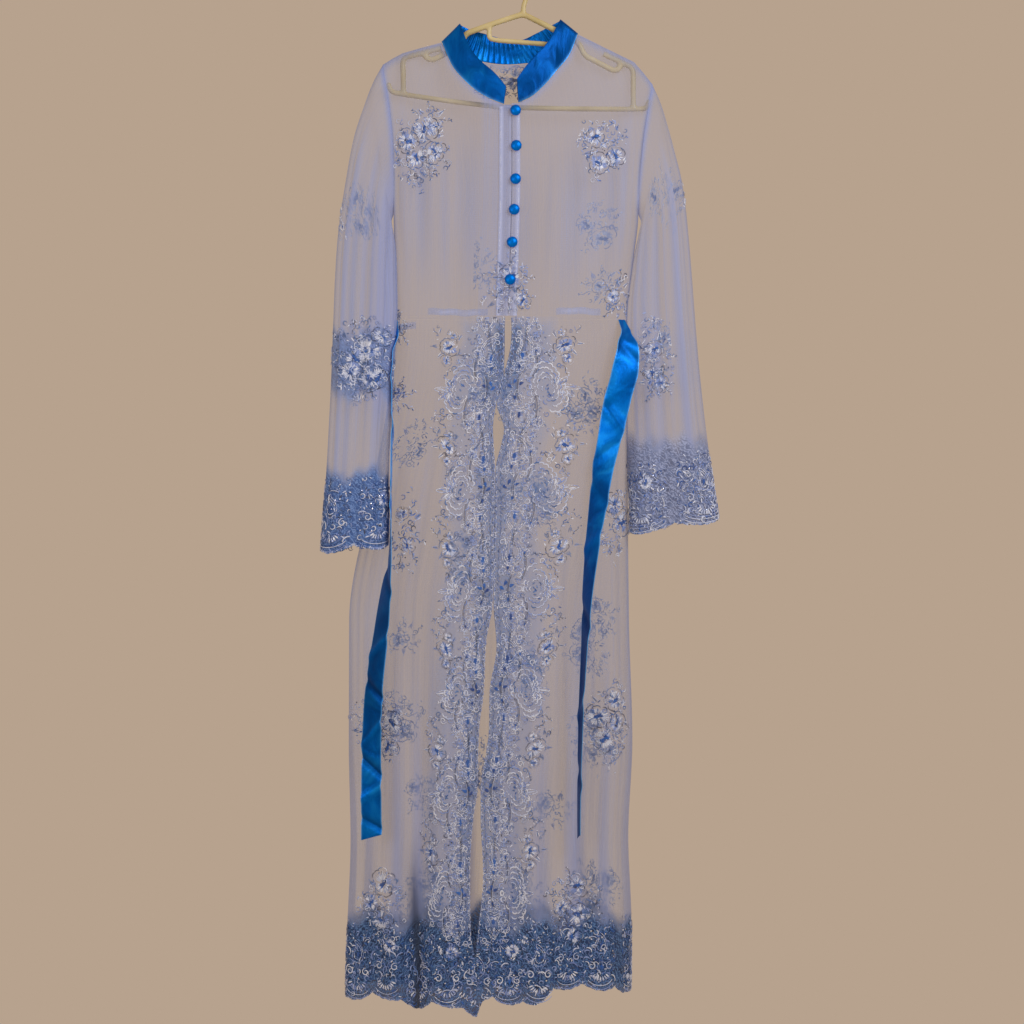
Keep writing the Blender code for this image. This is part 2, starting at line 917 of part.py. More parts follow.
# Rounds the inner corners of a line so that a tube along it bends instead of kinking
def rounded(points):
    places = [Vector((x, 0.0, -down)) for x, down in points]
    path = [places[0]]
    for before, corner, after in zip(places, places[1:], places[2:]):
        shortest = min((corner - before).length, (after - corner).length)
        reach = min(hanger_bend, shortest / bend_limit)
        first = corner + (before - corner).normalized() * reach
        last = corner + (after - corner).normalized() * reach
        for k in range(bend_steps + 1):
            t = k / bend_steps
            path.append(first * (1 - t) ** 2 + corner * 2 * t * (1 - t) + last * t * t)
    path.append(places[-1])
    return path


def hook_path():
    radius = hook_inner_radius + hook_rod_radius
    centre = Vector((0.0, 0.0, -hook_inner_radius))
    path = [Vector((across, 0.0, -down)) for across, down in hook_stem]
    for k in range(hook_steps + 1):
        angle = math.radians(mix(*hook_angles, k / hook_steps))
        path.append(centre + Vector((math.cos(angle), 0.0, math.sin(angle))) * radius)
    return path


def tube(name, path, radius):
    curve = bpy.data.curves.new(name, "CURVE")
    curve.dimensions = "3D"
    curve.bevel_depth = radius * mm
    curve.bevel_resolution = 2
    curve.use_fill_caps = True
    spline = curve.splines.new("POLY")
    spline.points.add(len(path) - 1)
    for point, place in zip(spline.points, path):
        point.co = (*(place * mm), 1.0)
    return bpy.data.objects.new(name, curve)


def mesh_from_curve(thing, guides):
    guides.objects.link(thing)
    bpy.context.view_layer.update()
    evaluated = thing.evaluated_get(bpy.context.evaluated_depsgraph_get())
    mesh = bpy.data.meshes.new_from_object(evaluated)
    shape = bmesh.new()
    shape.from_mesh(mesh)
    bmesh.ops.remove_doubles(shape, verts=shape.verts, dist=merge_reach)
    bmesh.ops.recalc_face_normals(shape, faces=shape.faces)
    shape.to_mesh(mesh)
    shape.free()
    solid = bpy.data.objects.new(f"{thing.name}_solid", mesh)
    guides.objects.link(solid)
    return solid


def build_hanger(group, guides, material):
    hanger = mesh_from_curve(tube("hook", hook_path(), hook_rod_radius), guides)
    for name, (radius, line) in hanger_rods.items():
        bar = mesh_from_curve(tube(name, rounded(line), radius), guides)
        union = hanger.modifiers.new(name, "BOOLEAN")
        union.operation = "UNION"
        union.solver = "EXACT"
        union.object = bar
    bpy.context.view_layer.update()
    evaluated = hanger.evaluated_get(bpy.context.evaluated_depsgraph_get())
    mesh = bpy.data.meshes.new_from_object(evaluated)
    result = bpy.data.objects.new("hanger", mesh)
    finish(result, group, material)
    for helper in guides.objects:
        helper.hide_render = True
        helper.display_type = "WIRE"
    return result


def build():
    clear_scene()
    group = make_collection(collection_name)
    guides = make_collection("guides")
    tulle = make_material("lavender tulle", *finishes["lavender tulle"])
    embroidered = make_material("embroidered tulle", *finishes["embroidered tulle"])
    satin = make_material("blue satin", *finishes["blue satin"])
    binding = make_material("folded tulle placket", *finishes["folded tulle placket"])
    plastic = make_material("pale yellow plastic", *finishes["pale yellow plastic"])
    build_hanger(group, guides, plastic)
    for side in (-1, 1):
        build_collar_front(side, group, satin)
        build_bodice_front(side, group, tulle)
        build_skirt_front(side, group, embroidered)
        build_sleeve(side, group, tulle)
        build_tie(side, group, satin)
    build_collar_back(group, satin)
    build_bodice_back(group, tulle)
    build_skirt_back(group, embroidered)
    build_placket(group, binding)
    for number, (across, down) in enumerate(zip(button_across, button_downs), 1):
        build_button(number, across, down, group, satin)


build()
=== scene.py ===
import math

import bmesh
import bpy
import numpy as np
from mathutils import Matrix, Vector
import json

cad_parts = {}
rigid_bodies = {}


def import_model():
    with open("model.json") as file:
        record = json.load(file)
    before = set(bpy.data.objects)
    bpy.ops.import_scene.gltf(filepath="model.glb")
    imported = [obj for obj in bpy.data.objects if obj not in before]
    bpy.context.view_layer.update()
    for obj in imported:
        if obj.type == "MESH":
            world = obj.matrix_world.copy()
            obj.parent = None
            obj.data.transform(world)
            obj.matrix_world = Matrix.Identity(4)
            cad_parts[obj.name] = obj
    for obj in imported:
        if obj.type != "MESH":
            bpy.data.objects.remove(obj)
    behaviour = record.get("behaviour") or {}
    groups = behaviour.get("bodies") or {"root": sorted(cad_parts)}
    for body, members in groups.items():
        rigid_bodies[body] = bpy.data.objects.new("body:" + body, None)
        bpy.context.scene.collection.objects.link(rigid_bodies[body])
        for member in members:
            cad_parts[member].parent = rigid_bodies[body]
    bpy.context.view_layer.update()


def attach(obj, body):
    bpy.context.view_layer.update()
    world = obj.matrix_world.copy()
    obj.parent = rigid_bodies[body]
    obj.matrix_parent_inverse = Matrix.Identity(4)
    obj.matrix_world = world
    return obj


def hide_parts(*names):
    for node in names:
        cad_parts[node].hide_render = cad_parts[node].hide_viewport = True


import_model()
mm = 0.001
sides = {-1: "left", 1: "right"}
dice = np.random.default_rng(23)
print("frame loaded")

# Sheer kebaya coat on a plastic hanger. Tables are in millimetres below the hook and across to +X.


# Helpers for tables and soft steps

def smoothThrough(places, values, where):
    places = np.asarray(places, float)
    values = np.asarray(values, float)
    where = np.clip(where, places[0], places[-1])
    widths = np.diff(places)
    steps = np.diff(values) / widths
    slopes = np.zeros(len(places))
    rising = steps[:-1] * steps[1:] > 0
    pairs = steps[:-1] + steps[1:]
    slopes[1:-1][rising] = (2 * steps[:-1] * steps[1:])[rising] / pairs[rising]
    after = np.clip(np.searchsorted(places, where), 1, len(places) - 1)
    before = after - 1
    width = widths[before]
    t = (where - places[before]) / width
    return (
        values[before] * (1 + 2 * t) * (1 - t) ** 2
        + slopes[before] * width * t * (1 - t) ** 2
        + values[after] * t * t * (3 - 2 * t)
        + slopes[after] * width * t * t * (t - 1)
    )


def lookUp(table, column, where, key="rows"):
    index = table["columns"].index(column)
    rows = table[key]
    return smoothThrough([row[0] for row in rows], [row[index] for row in rows], where)


def ease(t):
    t = np.clip(t, 0.0, 1.0)
    return t * t * (3 - 2 * t)


def mix(a, b, t):
    return a + (b - a) * t


def angleBetween(a, b):
    return np.abs((a - b + 180) % 360 - 180)


def bump(distance, wide):
    return np.exp(-((distance / wide) ** 2))


def unit(vectors):
    return vectors / np.maximum(np.linalg.norm(vectors, axis=-1, keepdims=True), 1e-9)


# A few waves laid over each other: height, length and start of each
def wavy(place, parts):
    return sum(height * np.sin(place / length + start) for height, length, start in parts)


# A few soft bumps laid over each other: middle, width and height of each
def bumps(place, parts):
    return sum(height * bump(place - middle, wide) for middle, wide, height in parts)


def lengthsAlong(line):
    return np.concatenate([[0], np.cumsum(np.linalg.norm(np.diff(line, axis=0), axis=1))])


# A place from b to c on the smooth curve through a, b, c and d
def between(a, b, c, d, t):
    return 0.5 * (2 * b + (c - a) * t + (2 * a - 5 * b + 4 * c - d) * t**2 + (3 * b - a - 3 * c + d) * t**3)


# Helpers for nodes, colours and meshes

def colour(hexText):
    parts = [int(hexText[i:i + 2], 16) / 255 for i in (1, 3, 5)]
    linear = [p / 12.92 if p <= 0.04045 else ((p + 0.055) / 1.055) ** 2.4 for p in parts]
    return (*linear, 1.0)


# Feeds a node: a socket is linked, hex text is a colour, anything else is a value
def feed(tree, made, inputs):
    for key, value in inputs.items():
        if isinstance(value, bpy.types.NodeSocket):
            tree.links.new(value, made.inputs[key])
        elif isinstance(value, str) and value.startswith("#"):
            made.inputs[key].default_value = colour(value)
        else:
            made.inputs[key].default_value = value


# Adds a node; settings are its properties
def addNode(tree, kind, inputs=None, **settings):
    made = tree.nodes.new(kind)
    for name, value in settings.items():
        setattr(made, name, value)
    feed(tree, made, inputs or {})
    return made


def newMaterial(name):
    material = bpy.data.materials.new(name)
    material.use_nodes = True
    tree = material.node_tree
    return material, tree, tree.nodes["Principled BSDF"]


def ramp(tree, source, stops):
    made = addNode(tree, "ShaderNodeValToRGB", {"Fac": source})
    band = made.color_ramp
    while len(band.elements) < len(stops):
        band.elements.new(0.5)
    for element, (place, shade) in zip(band.elements, stops):
        element.position = place
        element.color = colour(shade)
    return made.outputs["Color"]


def calc(tree, operation, a, b, clamp=False):
    return addNode(tree, "ShaderNodeMath", {0: a, 1: b}, operation=operation, use_clamp=clamp).outputs[0]


# A base, to which shares of other sockets are added
def addUp(tree, base, *parts):
    for part, share in parts:
        values = {0: part, 1: share, 2: base}
        base = addNode(tree, "ShaderNodeMath", values, operation="MULTIPLY_ADD").outputs[0]
    return base


def blend(tree, share, a, b, kind="RGBA"):
    return addNode(tree, "ShaderNodeMix", {"Factor": share, "A": a, "B": b}, data_type=kind).outputs["Result"]


def attribute(tree, name):
    return addNode(tree, "ShaderNodeAttribute", attribute_name=name).outputs["Fac"]


def flatPlace(tree, layer):
    return addNode(tree, "ShaderNodeUVMap", uv_map=layer).outputs[0]


def stretched(tree, place, scale):
    return addNode(tree, "ShaderNodeMapping", {"Vector": place, "Scale": scale}).outputs[0]


def noise(tree, place, scale, detail, more=None):
    values = {"Vector": place, "Scale": scale, "Detail": detail, **(more or {})}
    return addNode(tree, "ShaderNodeTexNoise", values).outputs["Fac"]


def waves(tree, place, values, direction):
    return addNode(
        tree, "ShaderNodeTexWave", {"Vector": place, **values}, bands_direction=direction).outputs["Fac"]


def bumped(tree, height, strength, distance):
    return addNode(
        tree, "ShaderNodeBump", {"Height": height, "Strength": strength, "Distance": distance}).outputs[0]


def sceneObject(name, data):
    thing = bpy.data.objects.new(name, data)
    bpy.context.scene.collection.objects.link(thing)
    return thing


def smoothFaces(mesh):
    mesh.polygons.foreach_set("use_smooth", [True] * len(mesh.polygons))


def meshObject(name, mesh, material=None):
    thing = sceneObject(name, mesh)
    if material is not None:
        mesh.materials.clear()
        mesh.materials.append(material)
    return thing


# A sheet from a grid of places in mm; uv holds each grid point's place on the flat cloth in mm
def gridSheet(name, grid, uv, closed=False, attributes=None):
    rows, columns = grid.shape[:2]
    wide = columns - 1 if closed else columns  # a ring's last column repeats its first
    index = np.arange(rows * wide).reshape(rows, wide)
    nextColumn = np.roll(index, -1, axis=1) if closed else index[:, 1:]
    here = index if closed else index[:, :-1]
    quads = np.stack([here[:-1], here[1:], nextColumn[1:], nextColumn[:-1]], axis=-1).reshape(-1, 4)
    mesh = bpy.data.meshes.new(name)
    places = grid[:, :wide].reshape(-1, 3) * mm
    mesh.from_pydata(places.tolist(), [], quads.tolist())
    corners = np.stack([uv[:-1, :-1], uv[1:, :-1], uv[1:, 1:], uv[:-1, 1:]], axis=2).reshape(-1, 2) * mm
    layer = mesh.uv_layers.new(name="cloth")
    layer.data.foreach_set("uv", corners.astype(np.float32).ravel())
    for key, values in (attributes or {}).items():
        data = mesh.attributes.new(key, "FLOAT", "POINT").data
        data.foreach_set("value", values[:, :wide].astype(np.float32).ravel())
    smoothFaces(mesh)
    mesh.update()
    return mesh


# Applies an object's live modifiers to its mesh
def settle(thing):
    bpy.context.view_layer.update()
    depsgraph = bpy.context.evaluated_depsgraph_get()
    made = bpy.data.meshes.new_from_object(
        thing.evaluated_get(depsgraph), preserve_all_data_layers=True, depsgraph=depsgraph
    )
    thing.modifiers.clear()
    thing.data = made
    return thing


def thicken(thing, wall, offset=0.0):
    shell = thing.modifiers.new("wall", "SOLIDIFY")
    shell.thickness = wall * mm
    shell.offset = offset
    shell.use_even_offset = True


def seat(piece, nodes=()):
    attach(piece, "root")
    if nodes:
        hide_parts(*nodes)


# The coat's body: the same tables as the solids have

coat = {
    "columns": ("down", "left", "right", "depth", "sideDepth"),
    "rows": (
        (100, -207, 191, 26, 20), (145, -207, 191, 27, 20), (174, -203, 191, 28, 21),
        (197, -199, 187, 28, 22), (271, -192, 176, 29, 23), (330, -191, 171, 30, 17),
        (355, -191, 170, 31, 8), (367, -191, 170, 31, 0), (434, -189, 163, 33, 0), (520, -188, 154, 36, 0),
        (641, -199, 154, 42, 0), (789, -226, 154, 48, 0), (967, -256, 156, 54, 0), (1145, -256, 161, 58, 0),
        (1293, -253, 154, 60, 0), (1411, -257, 158, 62, 0), (1545, -260, 157, 62, 0),
    ),
    "shoulderRoll": 5.6,
    "fallLength": 60.0,
    "fullnessPower": 0.8,
    "sidePower": 3,
    "seamGap": 0.3,
    "curvedSeamGap": 0.8,
    "neckGap": 1.0,
    "underarmDown": 367.0,
    "armholeHalfOpen": 23.0,
    "waistDown": 520.0,
    "waistGap": 0.4,
    "columnBias": 0.4,
    "clothMiddle": 0.5,  # the net lies in the middle of the solids' wall
}

centreLine = {
    "columns": ("down", "across"),
    "rows": ((200, -17), (316, -17), (412, -19), (520, -22)),
}

slit = {
    "columns": ("down", "left", "right"),
    "rows": (
        (520, -26, -18), (540, -27, -17), (560, -27, -18), (604, -28.3, -27.5), (649, -39.3, -38.5),
        (686, -44, -28), (708, -43, -32), (745, -41.3, -40.5), (937, -44.3, -43.5), (1004, -55, -39),
        (1070, -58, -49), (1122, -64, -50), (1219, -68, -62), (1248, -72, -62), (1337, -78, -58),
        (1426, -75, -67), (1455, -69.3, -68.5), (1545, -63.3, -62.5),
    ),
}

border = {
    "columns": ("down", "left", "right"),
    "rows": (
        (520, -124, 76), (745, -122, 76), (995, -120, 46), (1235, -140, 20), (1545, -150, 16),
    ),
    "wave": 10.0,
    "repeat": 150.0,
    "ground": (0.66, 0.34),  # how much of the net the fine stitches fill near the slit and beyond
    "groundWide": (26.0, 68.0),
    "fade": 20.0,
    "edgeWave": (6, 0.6),  # height and start of the ground's wavy edge
    "edgeRipple": ((3, 9.0, 0),),
    "denser": (0.4, 565, 55),  # how much denser just below the waist, where and how far
    "waistFade": (30, 0.3),
    "spacing": 147.3,  # from one medallion to the next
    "drawnWide": 92.0,  # the width for which one repeat is drawn
    "medallion": (36.0, 20.0, 628.0),  # half tall, half wide, the first one's place
    "medallionFrom": 60,
    "medallionGround": (0.44, 1.15, 1.6),  # share of the net, where it ends and how sharply
}

hem = {
    "columns": ("across", "front", "back"),
    "rows": (
        (-300, 1522, 1516), (-200, 1506, 1508), (-158, 1522, 1516), (-117, 1514, 1520), (-68, 1530, 1512),
        (-60, 1508, 1514), (0, 1516, 1518), (62, 1494, 1510), (100, 1494, 1506), (190, 1504, 1512),
    ),
    "placeDown": 1522.0,
    "laceTop": 1411.0,
    "laceRise": 20,
    "laceFade": 26,
    "laceEdge": ((9, 13.0, 0), (5, 5.1, 1.3)),  # waves of the band's upper edge
    "laceTall": 108,
    "scallopWide": 44.0,
    "scallopTall": 9.0,
    "picotWide": 11.0,
    "picotTall": 1.6,
}

# Folds: place round the coat in degrees (0 front, 90 at +X, 180 back), where it starts and is full
folds = {
    "skirt": (
        (-78, 760, 1500, 5, 9), (-41, 620, 1400, 8, 7), (-31, 900, 1420, -13, 5), (-17, 600, 1500, 7, 7),
        (9, 760, 1500, -5, 6), (20, 620, 1450, 8, 7), (37, 850, 1400, -9, 7), (54, 560, 1500, 8, 8),
        (78, 700, 1450, -5, 9), (104, 640, 1500, 7, 11), (124, 900, 1500, -9, 7), (140, 600, 1400, 10, 8),
        (157, 980, 1500, -8, 6), (172, 640, 1500, 9, 8), (189, 820, 1400, -10, 6), (205, 600, 1500, 9, 8),
        (223, 940, 1500, -9, 7), (240, 620, 1450, 10, 8), (262, 860, 1500, -5, 10),
    ),
    "bodice": (
        (-64, 170, 500, 4, 6), (-52, 190, 470, -3, 5), (-36, 240, 510, 2, 6), (-20, 260, 500, -2, 6),
        (24, 250, 505, 2, 7), (41, 210, 500, -2, 6), (60, 180, 480, 4, 6), (128, 200, 490, 3, 7),
        (150, 220, 505, -3, 7), (176, 260, 500, 3, 8), (203, 210, 500, -3, 7), (230, 190, 500, 4, 7),
    ),
    # Narrow creases that only the cloth has: around, top, bottom, depth, wide
    "creases": (
        (-82, 330, 1380, 1.6, 3.0), (-70, 560, 1330, -1.4, 2.4), (-61, 640, 1480, 1.8, 2.2),
        (-54, 545, 1210, -1.5, 1.8), (-47, 700, 1460, 1.5, 1.8), (-36, 560, 1090, 1.2, 2.0),
        (-24, 820, 1440, -1.2, 1.8), (3, 900, 1470, 1.2, 2.0), (14, 640, 1250, -1.3, 1.8),
        (28, 560, 1420, 1.6, 1.8), (33, 780, 1480, -1.4, 1.6), (46, 600, 1300, -1.8, 2.2),
        (61, 540, 1470, 1.8, 2.0), (68, 760, 1430, -1.6, 2.4), (84, 420, 1400, 1.6, 3.0),
        (97, 600, 1380, -1.5, 3.0), (113, 560, 1450, 1.6, 2.6), (132, 700, 1400, -1.6, 2.2),
        (148, 540, 1300, 1.5, 2.0), (164, 620, 1470, 1.4, 2.0), (180, 560, 1210, -1.3, 2.2),
        (196, 700, 1480, -1.5, 2.0), (214, 540, 1380, -1.4, 2.2), (231, 640, 1460, 1.6, 2.2),
        (250, 560, 1390, 1.6, 3.0), (-70, 190, 420, 1.4, 2.4), (-44, 210, 480, 1.2, 2.0),
        (-28, 250, 430, -1.0, 2.2), (33, 230, 470, 1.2, 2.2), (50, 200, 440, -1.2, 2.0),
        (69, 190, 480, 1.4, 2.4), (118, 210, 470, 1.2, 2.6), (140, 230, 450, 1.2, 2.2),
        (164, 250, 490, -1.2, 2.4), (190, 230, 440, 1.2, 2.4), (216, 220, 490, 1.3, 2.2),
        (240, 200, 460, -1.2, 2.6),
    ),
    "waistPuckerWide": 4.3,  # degrees from one small gather to the next
    "waistPuckerDeep": 0.7,
    "waistPuckerTall": 55.0,
    "sideDensity": 0.8,  # how much denser the net looks where it turns away at the sides
    "sideWide": 9,
    "skirtDensity": (10, 0.6),  # depth that adds all of it, share of the width
    "creaseDensity": (0.25, 14, 0.8),  # at least, depth that adds all of it, share of the width
}

ridges = {
    -1: ((-207, 145), (-193, 136), (-178, 128), (-150, 120), (-120, 112), (-93, 85)),
    1: ((191, 174), (178, 157), (164, 141), (121, 120), (81, 100), (55, 79)),
}


def ridgeDistance(across, down):
    nearest = np.full(np.broadcast(across, down).shape, 1e9)
    for line in ridges.values():
        for (x0, d0), (x1, d1) in zip(line, line[1:]):
            spanX, spanD = x1 - x0, d1 - d0
            t = (spanX * (across - x0) + spanD * (down - d0)) / (spanX**2 + spanD**2)
            t = np.clip(t, 0.0, 1.0)
            nearest = np.minimum(nearest, np.hypot(across - x0 - spanX * t, down - d0 - spanD * t))
    return nearest


def fallDepth(across, down, full):
    roll = coat["shoulderRoll"]
    drop = ridgeDistance(across, down)
    rolled = np.sqrt(np.maximum(roll**2 - np.maximum(roll - drop, 0.0) ** 2, 0.0))
    fallen = full + (roll - full) * np.exp(-(drop - roll) / coat["fallLength"])
    return np.where(drop < roll, rolled, fallen)


def bodyCentre(down):
    return (lookUp(coat, "left", down) + lookUp(coat, "right", down)) / 2


def bodyHalfWidth(down):
    return (lookUp(coat, "right", down) - lookUp(coat, "left", down)) / 2


def acrossAt(around, down):
    return bodyCentre(down) + bodyHalfWidth(down) * np.sin(np.radians(around))


def aroundAt(across, down, face):
    share = np.clip((across - bodyCentre(down)) / bodyHalfWidth(down), -1.0, 1.0)
    around = np.degrees(np.arcsin(share))
    return np.where(face < 0, around, 180 - around)


# Height of the folds and creases
def foldHeight(around, down):
    height = np.zeros(np.broadcast(around, down).shape)
    for centre, top, full, depth, wide in folds["skirt"]:
        height += depth * ease((down - top) / (full - top)) * bump(angleBetween(around, centre), wide)
    for centre, top, bottom, depth, wide in folds["bodice"] + folds["creases"]:
        swell = np.sin(np.pi * np.clip((down - top) / (bottom - top), 0, 1)) ** 2
        height += depth * swell * bump(angleBetween(around, centre), wide)
    below = down - coat["waistDown"]
    pucker = np.sin(2 * np.pi * around / folds["waistPuckerWide"] + 2 * np.sin(np.radians(7 * around)))
    fade = np.where(below > 0, np.exp(-np.maximum(below, 0) / folds["waistPuckerTall"]), 0.0)
    return height + folds["waistPuckerDeep"] * pucker * fade


# How densely the net is gathered, in its folds and creases and at its sides
def bunching(around, down):
    density = 0.0 * (around + down)
    deep, narrowed = folds["skirtDensity"]
    for centre, top, full, depth, wide in folds["skirt"]:
        share = ease((down - top) / (full - top)) * abs(depth) / deep
        density = density + share * bump(angleBetween(around, centre), wide * narrowed)
    least, deep, narrowed = folds["creaseDensity"]
    for centre, top, bottom, depth, wide in folds["bodice"] + folds["creases"]:
        swell = np.sin(np.pi * np.clip((down - top) / (bottom - top), 0, 1))
        share = swell * (least + abs(depth) / deep)
        density = density + share * bump(angleBetween(around, centre), wide * narrowed)
    edges = sum(bump(angleBetween(around, middle), folds["sideWide"]) for middle in (90, -90))
    return np.clip(density + folds["sideDensity"] * edges, 0.0, 1.0)


# A place on the coat's body in mm, at an angle round it and on its front (-1) or back (1) face
def bodyAt(around, down, face, out=0.0):
    sine = np.sin(np.radians(around))
    cosine = np.cos(np.radians(around))
    half = bodyHalfWidth(down)
    depth = lookUp(coat, "depth", down)
    across = bodyCentre(down) + half * sine
    roundness = np.abs(cosine) ** coat["fullnessPower"]
    full = depth * roundness + lookUp(coat, "sideDepth", down) * (1 - roundness) ** coat["sidePower"]
    fallen = fallDepth(across, down, full) + coat["seamGap"] / 2
    length = np.hypot(sine * depth, cosine * half)
    shift = foldHeight(around, down) + out
    x = across + shift * sine * depth / length
    y = face * fallen - shift * cosine * half / length
    return np.stack(np.broadcast_arrays(x, y, -np.asarray(down, float)), axis=-1)


def bodyPoint(across, down, face, out=0.0):
    return bodyAt(aroundAt(across, down, face), down, face, out)


def faceSamples(start, end, count):
    t = np.linspace(0, 1, count + 1)
    eased = mix(t, np.degrees(np.arcsin(t)) / 90, coat["columnBias"])
    return mix(start, end, eased)


def backSamples(count):
    half = count // 2
    right = faceSamples(180, 90, half)
    left = faceSamples(180, 270, half)
    return np.concatenate([left[::-1], right[1:]])


def rowLengths(grid):
    steps = np.linalg.norm(np.diff(grid, axis=1), axis=-1)
    return np.concatenate([np.zeros((len(grid), 1)), np.cumsum(steps, axis=1)], axis=1)


# Each mapped cloth has its own start, so that all stitches can be told apart by their place
clothStart = {"body": 0.0, -1: 4000.0, 1: 6000.0, "placket": 8000.0}
clothReach = 999  # no cloth reaches further from its start

# The whole body as one map: u is the length round from the front middle, v is the height
bodyMap = {
    "step": 1.0, "reach": 200, "top": 90.0, "bottom": 1560.0, "rowStep": 5.0, "start": clothStart["body"],
}


def finishMap(surface, grid, middle):
    along = rowLengths(grid)
    surface["grid"] = grid
    surface["u"] = along - along[:, middle:middle + 1]
    right = np.gradient(grid, axis=1)
    below = np.gradient(grid, axis=0)
    surface["normal"] = unit(np.cross(below, right))


def makeBodyMap():
    arounds = np.arange(-bodyMap["reach"], bodyMap["reach"] + 0.5, bodyMap["step"])
    downs = np.arange(bodyMap["top"], bodyMap["bottom"] + 0.5, bodyMap["rowStep"])
    around, down = np.meshgrid(arounds, downs)
    face = np.where(np.cos(np.radians(around)) >= 0, -1, 1)
    bodyMap["down"] = downs
    bodyMap["arounds"] = arounds
    finishMap(bodyMap, bodyAt(around, down, face, coat["clothMiddle"]), len(arounds) // 2)


def sampleRow(values, column):
    low = np.clip(column.astype(int), 0, len(values) - 2)
    share = (column - low)[:, None]
    return values[low] * (1 - share) + values[low + 1] * share


# Puts flat places (u, v in mm) on a mapped cloth, lifted off it along its normal
def layOn(surface, u, v, lift):
    rows = np.interp(-v, surface["down"], np.arange(len(surface["down"])))
    first = np.clip(rows.astype(int), 0, len(surface["down"]) - 2)
    columns = np.arange(surface["u"].shape[1])
    places = np.zeros((len(u), 3))
    normals = np.zeros((len(u), 3))
    for row in np.unique(first):
        chosen = np.nonzero(first == row)[0]
        share = (rows[chosen] - row)[:, None]
        upper = np.interp(u[chosen], surface["u"][row], columns)
        lower = np.interp(u[chosen], surface["u"][row + 1], columns)
        place, normal = (
            mix(sampleRow(surface[key][row], upper), sampleRow(surface[key][row + 1], lower), share)
            for key in ("grid", "normal"))
        normals[chosen] = unit(normal)
        places[chosen] = place + normals[chosen] * lift[chosen, None]
    return places, normals


def bodyRow(down):
    row = np.rint((down - bodyMap["top"]) / bodyMap["rowStep"]).astype(int)
    return np.clip(row, 0, len(bodyMap["down"]) - 1)


# Flat place of a point of the front view, on the body's front (-1) or back (1)
def bodyFlat(across, down, face):
    around = float(aroundAt(across, down, face))
    around = around - 360 if around > bodyMap["reach"] else around
    return float(np.interp(around, bodyMap["arounds"], bodyMap["u"][bodyRow(down)])), -float(down)


makeBodyMap()
placketMap = {**bodyMap, "start": clothStart["placket"], "lift": 2.6}
print("body mapped")


# Sleeves: rings between an outer and an inner edge

sleeve = {
    -1: (  # outer across and down, inner across and down, forward, half depth
        (-221, 171, -195, 378, 0, 21), (-234, 205, -192, 394, 1, 20), (-250, 256, -189, 413, 4, 19),
        (-263, 330, -187, 438, 9, 18), (-272, 397, -186, 471, 15, 17), (-276, 464, -185, 508, 22, 16),
        (-278, 538, -187, 557, 32, 16), (-280, 612, -190, 621, 41, 16), (-283, 686, -194, 689, 49, 16),
        (-286, 752, -196, 751, 56, 16), (-290, 812, -196, 807, 61, 17), (-293, 858, -197, 850, 63, 18),
    ),
    1: (
        (203, 202, 175, 378, 0, 21), (213, 234, 172, 394, 0, 20), (225, 279, 168, 413, 1, 19),
        (234, 316, 163, 438, 2, 18), (241, 367, 158, 471, 4, 17), (247, 434, 153, 508, 6, 16),
        (253, 516, 152, 557, 8, 16), (259, 590, 152, 621, 10, 16), (265, 650, 153, 682, 12, 16),
        (273, 716, 154, 740, 14, 17), (281, 772, 157, 790, 16, 18), (287, 812, 157, 832, 17, 19),
    ),
    "folds": {  # around, first row, last row, depth, wide
        -1: (
            (52, 1, 11, 4, 13), (84, 0, 9, -3, 12), (116, 1, 12, 4, 14), (232, 1, 12, 3, 16),
            (300, 2, 12, -3, 16), (68, 2, 10, 1.6, 5), (100, 1, 8, 1.8, 5), (128, 3, 11, -1.5, 5),
            (146, 0, 7, 1.8, 6), (34, 1, 9, -1.6, 6), (216, 2, 10, 1.5, 6), (262, 1, 9, -1.6, 6),
            (318, 1, 10, 1.6, 6),
        ),
        1: (
            (60, 1, 12, 4, 14), (100, 2, 12, -3, 14), (134, 1, 11, 3, 13), (246, 1, 12, 3, 16),
            (308, 2, 11, -3, 16), (44, 2, 10, -1.6, 5), (80, 1, 9, 1.8, 5), (116, 3, 11, 1.6, 5),
            (150, 0, 8, -1.6, 6), (24, 1, 9, 1.6, 6), (224, 2, 10, -1.5, 6), (270, 1, 9, 1.6, 6),
            (330, 1, 10, -1.6, 6),
        ),
    },
    "foldRows": 3,
    "foldOverrun": 2,
    "foldDensity": (0.3, 9, 0.6),  # at least, depth that adds all of it, share of the width
    "cuffLaceTall": 108.0,
    "scallopTall": 9.0,
    "mapReach": 198,  # degrees to each side of its front's middle, a little more than all round
    "mapBeyond": 16.0,
    "beyondStep": 2.0,
    "seamTuck": 0.6,
    "dense": {-1: (150, 42, 1.35, 9.5), 1: (180, 24, 0.5, 5.0)},  # around, wide, share, last row
    "armBand": {-1: (536, 646, 0.7), 1: (540, 640, 0.12)},  # top, bottom, how much lace fills the net
    "rowStep": 0.1,
    "columnStep": 3.0,
    "edgeRows": (10.5, 1.5),  # from which row the cuff's edge grows, and over how many
    "ragged": ((8, 11.0, 0), (5, 4.3, 2)),  # waves of the lace's upper edge
    "laceRise": 12,
    "laceFade": 24,
    "bandFade": (16, 22),
    "edgeDensity": (0.6, 16),  # how much denser the net looks at the sleeve's sides, and how far
    "headDensity": 0.28,
}


def sideLine(side):
    return lambda down: lookUp(coat, sides[side], down)


